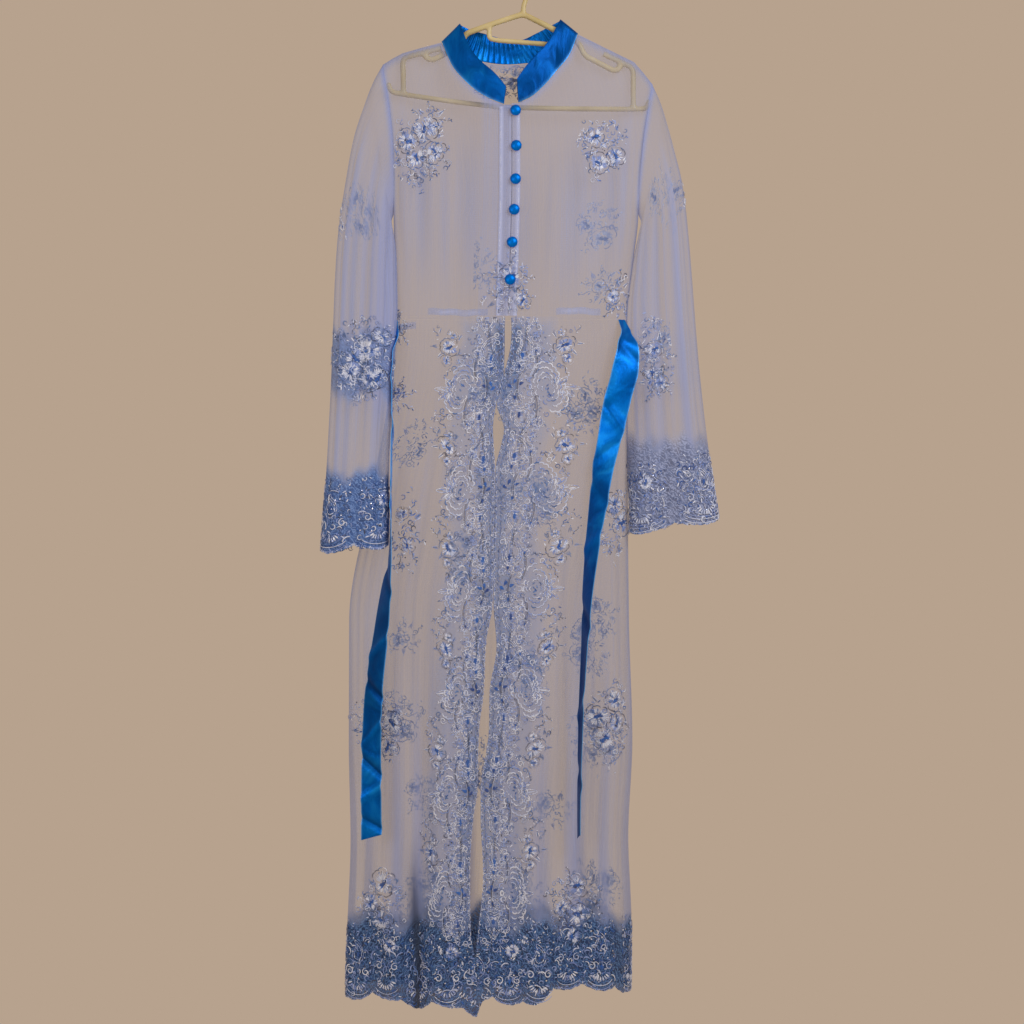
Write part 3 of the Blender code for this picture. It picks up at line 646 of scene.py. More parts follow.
# The ring where the sleeve meets the body
def armholeRing(side, angles):
    top = ridges[side][0][1]
    folded = np.minimum(angles % 360, 360 - angles % 360)
    down = mix(top, coat["underarmDown"], (1 - np.cos(np.radians(folded))) / 2)
    front = (angles % 360) <= 180
    edge = sideLine(side)(down)
    ring = np.where(front[:, None], bodyPoint(edge, down, -1, 0.0), bodyPoint(edge, down, 1, 0.0))
    closing = 1 - lookUp(coat, "sideDepth", down) / coat["armholeHalfOpen"]
    ring[:, 0] += side * sleeve["seamTuck"] * closing
    return ring


def sleeveRing(side, number, row, angles):
    outerX, outerDown, innerX, innerDown, forward, halfDepth = row
    turn = np.radians(angles)
    middle = np.array([(outerX + innerX) / 2, -forward, -(outerDown + innerDown) / 2])
    ring = np.zeros((len(angles), 3))
    ring[:, 0] = middle[0] + (outerX - innerX) / 2 * np.cos(turn)
    ring[:, 1] = middle[1] - halfDepth * np.sign(np.sin(turn)) * np.abs(np.sin(turn)) ** coat["fullnessPower"]
    ring[:, 2] = middle[2] - (outerDown - innerDown) / 2 * np.cos(turn)
    outward = ring - middle
    outward[:, 2] = 0
    outward = unit(outward)
    fade = sleeve["foldRows"]
    for around, first, last, depth, wide in sleeve["folds"][side]:
        swell = ease((number - first) / fade) * ease((last + sleeve["foldOverrun"] - number) / fade)
        ring += outward * (depth * swell * bump(angleBetween(angles, around), wide))[:, None]
    return ring + outward * coat["clothMiddle"]


def makeSleeveMap(side):
    step = sleeve["columnStep"]
    turn = -side  # the right sleeve is counted the other way, so that u runs to +X on both fronts
    angles = 90 + turn * np.arange(-sleeve["mapReach"], sleeve["mapReach"] + step / 2, step)
    rings = [armholeRing(side, angles)]
    rings += [sleeveRing(side, k, row, angles) for k, row in enumerate(sleeve[side], 1)]
    rings = np.array(rings)
    last = len(rings) - 1
    stations = np.arange(0, last + 0.001, sleeve["rowStep"])
    padded = np.concatenate([2 * rings[:1] - rings[1:2], rings, 2 * rings[-1:] - rings[-2:-1]])
    grid = []
    for station in stations:
        k = min(int(station), last - 1)
        grid.append(between(*padded[k:k + 4], station - k))
    grid = np.array(grid)
    surface = {"start": clothStart[side], "angles": angles, "stations": stations}
    surface["down"] = lengthsAlong(grid.mean(axis=1))
    surface["cuffDown"] = float(surface["down"][-1])
    fine = sleeve["beyondStep"]
    beyond = np.arange(fine, sleeve["mapBeyond"] + 0.1, fine)  # the map runs on straight below the cuff
    below = grid[-1][None] - beyond[:, None, None] * np.array([0.0, 0.0, 1.0])
    surface["down"] = np.concatenate([surface["down"], surface["cuffDown"] + beyond])
    finishMap(surface, np.concatenate([grid, below]), len(angles) // 2)
    surface["cuffU"] = surface["u"][len(grid) - 1]
    return surface


sleeveMaps = {side: makeSleeveMap(side) for side in sides}


# How far the cuff's scallops and picots hang down
def cuffEdge(angle, u):
    scallop = sleeve["scallopTall"] * np.abs(np.sin(np.radians(2 * angle)))
    return scallop + hem["picotTall"] * np.abs(np.sin(np.pi * u / hem["picotWide"]))


# Flat place on a sleeve of a point of the front view, on the sleeve's front (-1) or back (1)
def sleeveFlat(side, across, down, face):
    surface = sleeveMaps[side]
    grid = surface["grid"]
    front = np.sin(np.radians(surface["angles"])) > 0
    apart = np.hypot(grid[..., 0] - across, grid[..., 2] + down)
    apart = apart + np.where(front if face > 0 else ~front, 1e6, 0.0)[None, :]
    row, column = np.unravel_index(np.argmin(apart), apart.shape)
    return float(surface["u"][row, column]), -float(surface["down"][row])


print("sleeves mapped")


# Materials

# Polyester tulle, knitted as a hexagonal net and dyed pale lavender: a haze that thickens where it
# bunches. The real mesh is under 1 mm, so its net is drawn 2.6 mm wide and faint.
def tulleMaterial(name, thin, thick, shades, laceShades=None, cover=0.0):
    material, tree, shader = newMaterial(name)
    flat = flatPlace(tree, "cloth")
    bunched = attribute(tree, "bunched")
    streak = noise(tree, stretched(tree, flat, (260.0, 5.0, 1.0)), 1.0, 2.0)
    net = addNode(tree, "ShaderNodeTexVoronoi", {
        "Vector": stretched(tree, flat, (385.0, 385.0, 1.0)), "Scale": 1.0, "Randomness": 0.35,
    }, feature="DISTANCE_TO_EDGE", voronoi_dimensions="2D").outputs["Distance"]
    thread = calc(tree, "SUBTRACT", 0.10, net, clamp=True)
    base = ramp(tree, bunched, ((0.0, shades[0]), (1.0, shades[1])))
    alpha = addUp(tree, thin, (bunched, thick - thin))
    alpha = calc(tree, "MULTIPLY", alpha, addUp(tree, 0.62, (streak, 0.76)))
    alpha = addUp(tree, alpha, (thread, 1.1))
    if laceShades:
        lace, shadow = attribute(tree, "lace"), attribute(tree, "shadow")
        base, alpha = laceOver(tree, flat, lace, base, alpha, laceShades, cover)
        # Painted fold shadow: the colour darkens toward slate, and the doubled net is denser
        base = blend(tree, shadow, base, "#1d2433")
        alpha = addUp(tree, alpha, (shadow, 0.55))
    feed(tree, shader, {
        "Base Color": base, "Alpha": calc(tree, "MINIMUM", alpha, 0.97),
        "Normal": bumped(tree, calc(tree, "ADD", streak, thread), 0.25, 0.0006),
        "Roughness": 0.62, "IOR": 1.53, "Specular IOR Level": 0.35,
        "Sheen Weight": 0.15, "Sheen Roughness": 0.4, "Sheen Tint": "#cfd8ff"})
    return material


# The filled ground between the raised threads: fine running stitches that wind about
def laceOver(tree, flat, lace, base, alpha, shades, cover):
    winding = waves(tree, flat, {
        "Scale": 88.0, "Distortion": 11.0, "Detail": 2.0, "Detail Scale": 1.6, "Detail Roughness": 0.6,
    }, "DIAGONAL")
    lines = calc(tree, "MULTIPLY", calc(tree, "SUBTRACT", winding, 0.55, clamp=True), 2.2, clamp=True)
    patches = noise(tree, flat, 95.0, 4.0, {"Roughness": 0.65})
    ground = ramp(tree, patches, ((0.34, shades[0]), (0.5, shades[1]), (0.66, shades[2])))
    sparse = calc(tree, "SUBTRACT", 1.0, lace, clamp=True)
    ground = blend(tree, sparse, ground, "#8aa0ce")
    threads = blend(tree, lines, ground, shades[3])
    full = addUp(tree, cover, (patches, 0.4), (lines, 0.2))
    return blend(tree, lace, base, threads), blend(tree, lace, alpha, full, "FLOAT")


# Rayon embroidery thread laid as satin stitch. Its colour mixes the thread's own random tone with light
# stripes along each thread, a painted gleam that the bumps and sheen also give
def threadMaterial(name, dark, light, roughness=0.38):
    material, tree, shader = newMaterial(name)
    rib = waves(tree, flatPlace(tree, "stitch"), {"Scale": 2.2, "Distortion": 0.6, "Detail": 1.0}, "X")
    shade = addUp(tree, 0.0, (attribute(tree, "tone"), 0.75), (rib, 0.25))
    feed(tree, shader, {
        "Base Color": ramp(tree, shade, ((0.0, dark), (1.0, light))),
        "Normal": bumped(tree, rib, 0.5, 0.0003),
        "Roughness": roughness, "IOR": 1.53, "Specular IOR Level": 0.6, "Sheen Weight": 0.25})
    return material


# Polyester satin, woven with long floats: its sheen has the dye's own blue, azure where it catches light
def satinMaterial():
    material, tree, shader = newMaterial("polyester satin woven blue")
    flat = flatPlace(tree, "cloth")
    weave = noise(tree, stretched(tree, flat, (1250.0, 160.0, 1.0)), 1.0, 2.0)
    crumpled = noise(tree, flat, 26.0, 3.0, {"Distortion": 0.8})
    # The base colour follows the same crumpling as the bumps: painted shade where it sinks and painted azure
    # highlight where it swells, over the dye's blue
    shade = addUp(tree, 0.0, (crumpled, 0.8), (weave, 0.2))
    body = ramp(tree, shade, ((0.3, "#004b9b"), (0.5, "#0075d8"), (0.7, "#1a9df8")))
    # dim: painted shade, mixing the colour toward deep navy
    body = blend(tree, attribute(tree, "dim"), body, "#003877")
    feed(tree, shader, {
        "Base Color": blend(tree, attribute(tree, "rim"), body, "#5fb2f2"),
        "Normal": bumped(tree, addUp(tree, crumpled, (weave, 0.1)), 0.45, 0.004),
        "Metallic": 0.5, "Roughness": 0.36, "IOR": 1.57, "Specular IOR Level": 0.2,
        "Specular Tint": "#6fbcff"})
    return material


# Polypropylene, injection moulded and a little yellowed: smooth, waxy and slightly see-through
def plasticMaterial():
    material, tree, shader = newMaterial("polypropylene moulded cream yellow")
    place = addNode(tree, "ShaderNodeTexCoord").outputs["Object"]
    cloudy = noise(tree, place, 14.0, 3.0)
    grain = noise(tree, place, 600.0, 2.0)
    feed(tree, shader, {
        "Base Color": ramp(tree, cloudy, ((0.3, "#b5a368"), (0.6, "#cdbd88"), (0.8, "#ddd0a6"))),
        "Normal": bumped(tree, grain, 0.12, 0.0003), "Roughness": 0.36, "IOR": 1.49,
        "Subsurface Weight": 0.15, "Subsurface Radius": (0.004, 0.003, 0.0015)})
    return material


# Holographic film punched into sequins: small mirrors that catch single points of light
def sequinMaterial():
    material, tree, shader = newMaterial("polyester film sequins silvered")
    tone = attribute(tree, "tone")
    feed(tree, shader, {
        "Base Color": ramp(tree, tone, ((0.0, "#c9d6f6"), (1.0, "#ffffff"))),
        "Metallic": 0.8, "Roughness": 0.2})
    return material


haze = ("#a0aed0", "#93a1cf")
finishes = {
    "tulle": tulleMaterial("tulle net knitted lavender", 0.20, 0.66, haze),
    # Its ground shades are the lace's own deep blue, darkened further as painted shade for the dimmer light
    # low on the coat
    "laceTulle": tulleMaterial(
        "embroidered tulle net", 0.19, 0.62, haze, ("#11264a", "#1f4070", "#3b6296", "#5c82b4"), 0.72),
    "denseTulle": tulleMaterial(
        "embroidered cuff tulle", 0.22, 0.70, haze, ("#304f88", "#4166a4", "#587cb8", "#7596cb"), 0.62),
    # The right cuff's lace net, painted as more brightly lit: greyer, paler shades and thinner cover
    "litCuffTulle": tulleMaterial(
        "embroidered cuff tulle greyed", 0.20, 0.66, haze, ("#566488", "#6b7ba2", "#8796bb", "#a4b1d2"), 0.5),
    "folded": tulleMaterial("tulle folded in layers", 0.40, 0.78, ("#98a7d2", "#bfcaee")),
    "silver": threadMaterial("rayon thread silver white", "#a9b9de", "#f4f9ff", 0.28),
    "periwinkle": threadMaterial("rayon thread periwinkle", "#6a82c0", "#a6bbec"),
    "steel": threadMaterial("rayon thread steel blue", "#31568f", "#668dc8"),
    "deep": threadMaterial("rayon thread deep blue", "#06337c", "#1a69c4"),
    "dark": threadMaterial("rayon thread slate", "#1b2338", "#46537a", 0.5),
    "sequin": sequinMaterial(),
    "satin": satinMaterial(),
    "plastic": plasticMaterial(),
}
print("materials made")


# Camera and light

studio = {
    "cameraAcross": -16.3,
    "cameraDown": 807.0,
    "cameraBack": 3200.0,
    "halfFrame": 757.8,
    "floorDown": 1800.0,
    "floorHalf": 900.0,
    "world": "#b7a28e",
    "lights": (  # across, back, down, side, watts, colour
        (1100, -1500, -450, 1000, 24, "#e9efff"),
        (-1500, -2100, 300, 1400, 14, "#e6ecff"),
        (100, 1700, 200, 1500, 10, "#fff1e0"),
    ),
}


def makeStudio():
    camera = bpy.data.cameras.new("front view")
    camera.sensor_width = 36
    camera.lens = camera.sensor_width / 2 * studio["cameraBack"] / studio["halfFrame"]
    camera.clip_end = 30
    holder = sceneObject("front view", camera)
    holder.location = (studio["cameraAcross"] * mm, -studio["cameraBack"] * mm, -studio["cameraDown"] * mm)
    holder.rotation_euler = (math.pi / 2, 0, 0)
    bpy.context.scene.camera = holder
    for number, (across, back, down, side, watts, shade) in enumerate(studio["lights"]):
        light = bpy.data.lights.new(f"soft box {number}", "AREA")
        light.size = side * mm
        light.energy = watts
        light.color = colour(shade)[:3]
        box = sceneObject(light.name, light)
        box.location = (across * mm, back * mm, -down * mm)
        aim = Vector((0, 0, -studio["cameraDown"] * mm)) - box.location
        box.rotation_euler = aim.to_track_quat("-Z", "Y").to_euler()
    world = bpy.data.worlds.new("plain room")
    world.use_nodes = True
    feed(world.node_tree, world.node_tree.nodes["Background"], {"Color": studio["world"]})
    bpy.context.scene.world = world
    half = studio["floorHalf"]
    low = -studio["floorDown"]
    corners = np.array([[(x, y, low) for x in (-half, half)] for y in (-half, half)], float)
    mesh = gridSheet("floor", corners, corners[..., :2])
    material, tree, shader = newMaterial("painted board matt")
    feed(tree, shader, {"Base Color": "#d8cdbf", "Roughness": 0.8})
    meshObject("floor", mesh, material)
    bpy.context.scene.view_settings.view_transform = "Standard"


makeStudio()
print("studio made")


# Tulle panels of the bodice

collarTables = {
    "columns": ("along", "seamAcross", "seamDown", "edgeAcross", "edgeDown"),
    -1: (
        (0.0, -28, 208, -25, 183), (0.2, -48, 200, -43, 161), (0.4, -68, 188, -59, 147),
        (0.6, -86, 172, -73, 131), (0.8, -104, 150, -83, 112), (1.0, -120, 112, -93, 85),
    ),
    1: (
        (0.0, -7, 206, -9, 172), (0.2, 12, 197, 3, 154), (0.4, 33, 178, 18, 136), (0.6, 50, 157, 31, 122),
        (0.8, 68, 134, 42, 105), (1.0, 81, 100, 55, 79),
    ),
    "back": (
        (0.00, -120, 112, -93, 85), (0.14, -98, 127, -77, 91), (0.30, -65, 136, -57, 95),
        (0.46, -27, 140, -30, 101), (0.62, 10, 138, -4, 103), (0.77, 43, 129, 21, 94),
        (0.89, 64, 117, 39, 86), (1.00, 81, 100, 55, 79),
    ),
}

bodice = {
    "fine": 4,  # columns for each one of the solids
    "armholeRows": 26,
    "lowerRows": 24,
    "frontNeck": 8,
    "backColumns": 24,
    "facing": 0.4,  # the turned-in front edge, seen through the net
    "facingWide": 46.0,
    "topSeam": 0.75,  # how much denser the net looks along a seam
    "topSeamWide": 8.0,
    "sideSeam": 0.5,
    "sideSeamWide": 7,
    "sideSeamFrom": (150, 60),
}


def collarPoint(key, along, share):
    seamAcross, seamDown, edgeAcross, edgeDown = (
        lookUp(collarTables, column, along, key) for column in collarTables["columns"][1:])
    return np.stack([mix(seamAcross, edgeAcross, share), mix(seamDown, edgeDown, share)], axis=-1)


def neckEdge(key, along):
    seam = collarPoint(key, along, 0.0)
    return seam + unit(seam - collarPoint(key, along, 1.0)) * coat["neckGap"]


def straightStops(points, fine):
    points = np.asarray(points, float)
    stops = np.linspace(0, len(points) - 1, (len(points) - 1) * fine + 1)
    return np.stack([np.interp(stops, np.arange(len(points)), points[:, k]) for k in (0, 1)], axis=-1)


def centreEdge(side):
    return lambda down: lookUp(centreLine, "across", down) + side * coat["seamGap"] / 2


def frontTops(side):
    fine = bodice["fine"]
    centreDown = collarTables[side][0][2] + coat["neckGap"]
    start = (float(centreEdge(side)(centreDown)), centreDown)
    neck = neckEdge(side, np.linspace(0, 1, bodice["frontNeck"] * fine + 1))
    ridge = [ridges[side][k] for k in (3, 2, 1, 0)]
    first = straightStops([start, neck[0]], fine)[:-1]
    return np.concatenate([first, neck, straightStops([neck[-1], *ridge], fine)[1:]])


def backTops():
    fine = bodice["fine"]
    count = (bodice["backColumns"] - 8) * fine
    neck = neckEdge("back", np.linspace(0, 1, count + 1))
    left = [ridges[-1][k] for k in (0, 1, 2, 3)]
    right = [ridges[1][k] for k in (3, 2, 1, 0)]
    return np.concatenate([
        straightStops([*left, neck[0]], fine)[:-1], neck, straightStops([neck[-1], *right], fine)[1:],
    ])


def bodiceGrid(tops, arounds, nearEdge, farEdge, face):
    turn = np.radians(np.linspace(0, 180, bodice["armholeRows"] + 1))
    upper = (1 - np.cos(turn)) / 2
    waist = coat["waistDown"]
    lower = np.linspace(0, 1, bodice["lowerRows"] + 1)[1:]
    topX, topDown = tops[:, 0][None], tops[:, 1][None]
    bottom = waist - coat["waistGap"] / 2
    downs = np.concatenate([
        mix(topDown, coat["underarmDown"], upper[:, None]),
        mix(coat["underarmDown"], bottom, lower[:, None]) + 0 * topDown,
    ])
    topShare = (topX - nearEdge(topDown)) / (farEdge(topDown) - nearEdge(topDown))
    waistX = acrossAt(arounds[None], waist)
    waistShare = (waistX - nearEdge(waist)) / (farEdge(waist) - nearEdge(waist))
    share = mix(topShare, waistShare, (downs - topDown) / (waist - topDown))
    across = mix(nearEdge(downs), farEdge(downs), share)
    around = aroundAt(across, downs, face)
    return bodyAt(around, downs, face, coat["clothMiddle"]), around, downs


def panelUv(grid, downs, middle=0):
    along = rowLengths(grid)
    return np.stack([along - along[:, middle:middle + 1], -downs], axis=-1)


def flatArea(grid):
    first = np.cross(grid[1:, :-1] - grid[:-1, :-1], grid[:-1, 1:] - grid[:-1, :-1])
    second = np.cross(grid[1:, 1:] - grid[1:, :-1], grid[1:, 1:] - grid[:-1, 1:])
    return (np.linalg.norm(first, axis=-1).sum() + np.linalg.norm(second, axis=-1).sum()) / 2


def orient(mesh, core):
    shape = bmesh.new()
    shape.from_mesh(mesh)
    bmesh.ops.recalc_face_normals(shape, faces=shape.faces)
    facing = sum(f.normal.dot(f.calc_center_median() - core(f.calc_center_median())) for f in shape.faces)
    if facing < 0:
        bmesh.ops.reverse_faces(shape, faces=shape.faces)
    shape.to_mesh(mesh)
    shape.free()


def middlePlane(point):
    return Vector((point.x, 0.0, point.z))


# A single sheet of net, seated and turned outward, with the attributes that shade it
def layNet(name, grid, uv, shade, finish, nodes, core=middlePlane, closed=False):
    shade = {key: np.clip(values, 0, 1) if key == "bunched" else values for key, values in shade.items()}
    mesh = gridSheet(name, grid, uv, closed, shade)
    orient(mesh, core)
    sheet = meshObject(name, mesh, finishes[finish])
    seat(sheet, nodes)
    print(name, round(rowLengths(grid).max()), "mm wide", round(flatArea(grid)) / 1e6, "square metres")
    return sheet


def makeBodice():
    pieces = []
    for side, name in ((-1, "bodice_front_left"), (1, "bodice_front_right")):
        tops = frontTops(side)
        centre = float(aroundAt(centreEdge(side)(coat["waistDown"]), coat["waistDown"], -1))
        arounds = faceSamples(centre, side * 90, len(tops) - 1)
        panel = bodiceGrid(tops, arounds, centreEdge(side), sideLine(side), -1)
        pieces.append((name, "bodiceFront", *panel))
    arounds = backSamples(bodice["backColumns"] * bodice["fine"])
    panel = bodiceGrid(backTops(), arounds, sideLine(-1), sideLine(1), 1)
    pieces.append(("bodice_back", "bodiceBack", *panel))
    start, fade = bodice["sideSeamFrom"]
    for name, cut, grid, around, downs in pieces:
        nearTop = bump(downs - downs[:1], bodice["topSeamWide"])
        nearSide = bump(angleBetween(np.abs(around), 90), bodice["sideSeamWide"])
        nearSide = nearSide * ease((downs - start) / fade)
        bunched = bunching(around, downs) + bodice["topSeam"] * nearTop + bodice["sideSeam"] * nearSide
        if name == "bodice_front_left":
            fromCentre = lookUp(centreLine, "across", downs) - grid[..., 0]
            bunched = bunched + bodice["facing"] * ease((bodice["facingWide"] - fromCentre) / 6)
        shade = {"bunched": bunched}
        panel = layNet(f"{name}_tulle", grid, panelUv(grid, downs), shade, "tulle", [name])


makeBodice()
print("bodice made")


# Skirt panels, with a scalloped hem and the filled ground of the lace as an attribute

skirt = {
    "frontColumns": 60,
    "backColumns": 110,
    "plainRows": 150,
    "laceRows": 26,
    # Where the net lies doubled in a deep fold: a denser net, and a painted fold shadow that darkens it
    # toward slate. Across, where it starts and over how far, wide, how dark
    "darkFold": (-158, 1250, 150, 9.0, 0.8),
    "foldWave": ((3, 45.0, 0),),
}


def hemDown(across, face):
    own, other = ("front", "back") if face < 0 else ("back", "front")
    fromMiddle = np.abs(across - bodyCentre(hem["placeDown"])) / bodyHalfWidth(hem["placeDown"])
    base = mix(lookUp(hem, own, across), lookUp(hem, other, across), 0.5 * ease((fromMiddle - 0.75) / 0.25))
    scallop = hem["scallopTall"] * np.abs(np.sin(np.pi * across / hem["scallopWide"]))
    picot = hem["picotTall"] * np.abs(np.sin(np.pi * across / hem["picotWide"]))
    return base + scallop + picot


def skirtDowns(bottom):
    top = coat["waistDown"] + coat["waistGap"] / 2
    plain = mix(top, hem["laceTop"], np.linspace(0, 1, skirt["plainRows"] + 1))[:, None] + 0 * bottom[None]
    lace = mix(hem["laceTop"], bottom[None], np.linspace(0, 1, skirt["laceRows"] + 1)[1:, None])
    return np.concatenate([plain, lace])


def borderLimit(down, side):
    limit = lookUp(border, sides[side], down)
    return limit + side * border["wave"] * np.cos(2 * np.pi * (down - coat["waistDown"]) / border["repeat"])


# How much of the net the fine stitches fill: in the hem's band, beside the slit, round the medallions
def laceShare(across, down, face):
    inHem = ease((down - hem["laceTop"] + hem["laceRise"] + wavy(across, hem["laceEdge"])) / hem["laceFade"])
    if face > 0:
        return inHem
    left, right = lookUp(slit, "left", down), lookUp(slit, "right", down)
    fromSlit = np.maximum(left - across, across - right)
    height, start = border["edgeWave"]
    edge = height * np.sin(2 * np.pi * down / border["repeat"] + start) + wavy(down, border["edgeRipple"])
    more, place, reach = border["denser"]
    dense = 1 + more * bump(down - place, reach)
    inBorder = 0.0 * across
    for share, wide in zip(border["ground"], border["groundWide"]):
        inBorder = np.maximum(inBorder, dense * share * ease((wide + edge - fromSlit) / border["fade"] + 0.5))
    tall, wide, middle = border["medallion"]
    spacing = border["spacing"]
    full = np.where(across < left + 1, left - borderLimit(down, -1), borderLimit(down, 1) - left)
    upDown = (down - middle + spacing / 2) % spacing - spacing / 2
    near = np.hypot((fromSlit - border["medallionFrom"] * full / border["drawnWide"]) / wide, upDown / tall)
    share, reach, sharp = border["medallionGround"]
    fade, start = border["waistFade"]
    inBorder = np.maximum(inBorder, share * ease((reach - near) * sharp))
    return np.maximum(inHem, inBorder * ease((down - coat["waistDown"]) / fade + start))


# Mask of the painted fold shadow down the front left skirt, where the doubled net is also denser
def darkFold(across, down):
    place, top, fade, wide, dark = skirt["darkFold"]
    return dark * bump(across - place - wavy(down, skirt["foldWave"]), wide) * ease((down - top) / fade)


def makeSkirt():
    place = hem["placeDown"]
    for side, name in ((-1, "front_left"), (1, "front_right"), (0, "back")):
        if side == 0:
            face, cut = 1, "skirtBack"
            arounds = backSamples(skirt["backColumns"])
            downs = skirtDowns(hemDown(acrossAt(arounds, hem["laceTop"]), face))
            around = arounds[None] + 0 * downs
        else:
            face, cut = -1, "skirtFront"
            shares = faceSamples(0.0, 1.0, skirt["frontColumns"])
            edge = float(aroundAt(lookUp(slit, sides[side], place), place, -1))
            downs = skirtDowns(hemDown(acrossAt(mix(edge, side * 90, shares), place), face))
            around = mix(aroundAt(lookUp(slit, sides[side], downs), downs, -1), side * 90.0, shares[None])
        grid = bodyAt(around, downs, face, coat["clothMiddle"])
        across = acrossAt(around, downs)
        shade = {
            "bunched": bunching(around, downs), "lace": laceShare(across, downs, face),
            "shadow": darkFold(across, downs) * (side < 0)}
        panel = layNet(
            f"skirt_{name}_tulle", grid, panelUv(grid, downs), shade, "laceTulle",
            [f"skirt_{name}"])


makeSkirt()
print("skirt made")


# Sleeves with scalloped lace cuffs

def makeSleeves():
    for side, name in sides.items():
        surface = sleeveMaps[side]
        ring = int(round(360 / sleeve["columnStep"]))
        start = (surface["grid"].shape[1] - ring) // 2
        columns = slice(start, start + ring + 1)
        number = surface["stations"][:, None]
        grid = surface["grid"][:len(number), columns].copy()
        u = surface["u"][:len(number), columns]
        angles = surface["angles"][columns]
        row, fade = sleeve["edgeRows"]
        edge = ease((number - row) / fade) * cuffEdge(angles, u)
        grid[..., 2] -= edge
        shade = {"bunched": sleeveDensity(side, number, angles), "lace": sleeveLace(side, u, -grid[..., 2])}
        middle = grid[:, :-1].mean(axis=1) * mm

        def core(point):
            nearest = np.argmin(np.linalg.norm(middle - np.array(point), axis=1))
            return Vector(middle[nearest])

        uv = np.stack([u, -(surface["down"][:len(number), None] + edge)], axis=-1)
        # The right cuff's net is a painted-lit copy of the left's: greyer and paler
        finish = "denseTulle" if side < 0 else "litCuffTulle"
        tube = layNet(
            f"sleeve_{name}_tulle", grid, uv, shade, finish, [f"sleeve_{name}"], core, closed=True)


# How much of a sleeve's net the fine stitches fill: the cuff, and a band higher up
def sleeveLace(side, u, down):
    cuffTop = sleeve[side][-1][1] - sleeve["cuffLaceTall"]
    ragged = wavy(u, sleeve["ragged"])
    inCuff = ease((down - cuffTop + sleeve["laceRise"] + ragged) / sleeve["laceFade"])
    top, bottom, share = sleeve["armBand"][side]
    above, below = sleeve["bandFade"]
    inBand = ease((down - top + ragged) / above) * ease((bottom - down - ragged) / below)
    return np.maximum(inCuff, share * inBand)


# How densely a sleeve's net is gathered: in its folds, at its sides, in its head and in one broad band
def sleeveDensity(side, number, angles):
    bunched = 0.0 * (number + angles)
    fade, overrun = sleeve["foldRows"], sleeve["foldOverrun"]
    least, deep, narrowed = sleeve["foldDensity"]
    for around, first, last, depth, wide in sleeve["folds"][side]:
        swell = ease((number - first) / fade) * ease((last + overrun - number) / fade)
        share = swell * (least + abs(depth) / deep)
        bunched += share * bump(angleBetween(angles, around), wide * narrowed)
    around, wide, share, last = sleeve["dense"][side]
    bunched += share * bump(angleBetween(angles, around), wide) * ease((last - number) / 2)
    more, wide = sleeve["edgeDensity"]
    edges = bump(angleBetween(angles, 0), wide) + bump(angleBetween(angles, 180), wide)
    return bunched + more * edges + bump(number, sleeve["headDensity"])


makeSleeves()
print("sleeves made")


# Satin stand collar: two turned-back fronts and a back shirred on elastic

collar = {
    "dim": {-1: 0.6, 1: 0.86, "back": 0.35},  # painted shade: how far each part of the collar is darkened toward deep navy
    "frontLift": 5.0,
    "frontWall": 1.9,
    "backLean": 6.0,
    "backWall": 1.3,
    "gathers": 27,
    "gatherDepth": 0.6,
    "gatherFade": 3.0,
    "gatherAtEdges": 0.35,
    "ripples": {-1: (0.9, 7.0, 0.4), 1: (1.2, 5.0, 2.1)},  # height, waves along, start
    "dent": {-1: (0.55, 0.10, -0.8), 1: (0.62, 0.07, -2.6)},  # place along, wide, height
    "frontPoints": (73, 19),
    "backPoints": (271, 15),
    "tall": {"front": 41, "back": 38},
    "rim": (0.5, 0.05),  # how pale the seam's edge is, and how wide
    "softEdge": 0.35,
    "softAngle": 50,
}


# A band of satin with two faces and soft edges; rim says where it is paler, and dim is painted shade that
# darkens it
def finishSatin(node, grid, uv, wall, rim, dim):
    name = f"{node}_satin"
    mesh = gridSheet(name, grid, uv, attributes={"rim": rim, "dim": dim + 0 * rim})
    orient(mesh, lambda point: point + Vector((0.0, 1.0, 0.0)))
    band = meshObject(name, mesh, finishes["satin"])
    thicken(band, wall)
    edge = band.modifiers.new("soft edge", "BEVEL")
    edge.width = collar["softEdge"] * mm
    edge.segments = 2
    edge.limit_method = "ANGLE"
    edge.angle_limit = math.radians(collar["softAngle"])
    settle(band)
    smoothFaces(band.data)
    seat(band, [node])
    print(name, round(rowLengths(grid).max()), "mm wide", round(flatArea(grid)) / 1e6, "square metres")


# Shares along and up a part of the collar, the grid of its places, and how far down each lies
def collarGrid(key, points, face, wall):
    k, s = np.meshgrid(*(np.linspace(0, 1, count) for count in points))
    place = collarPoint(key, k, s)
    return k, s, bodyPoint(place[..., 0], place[..., 1], face, wall / 2), place[..., 1]


def collarUv(grid, down, s, tall):
    uv = panelUv(grid, down)
    uv[..., 1] = s * tall
    return uv


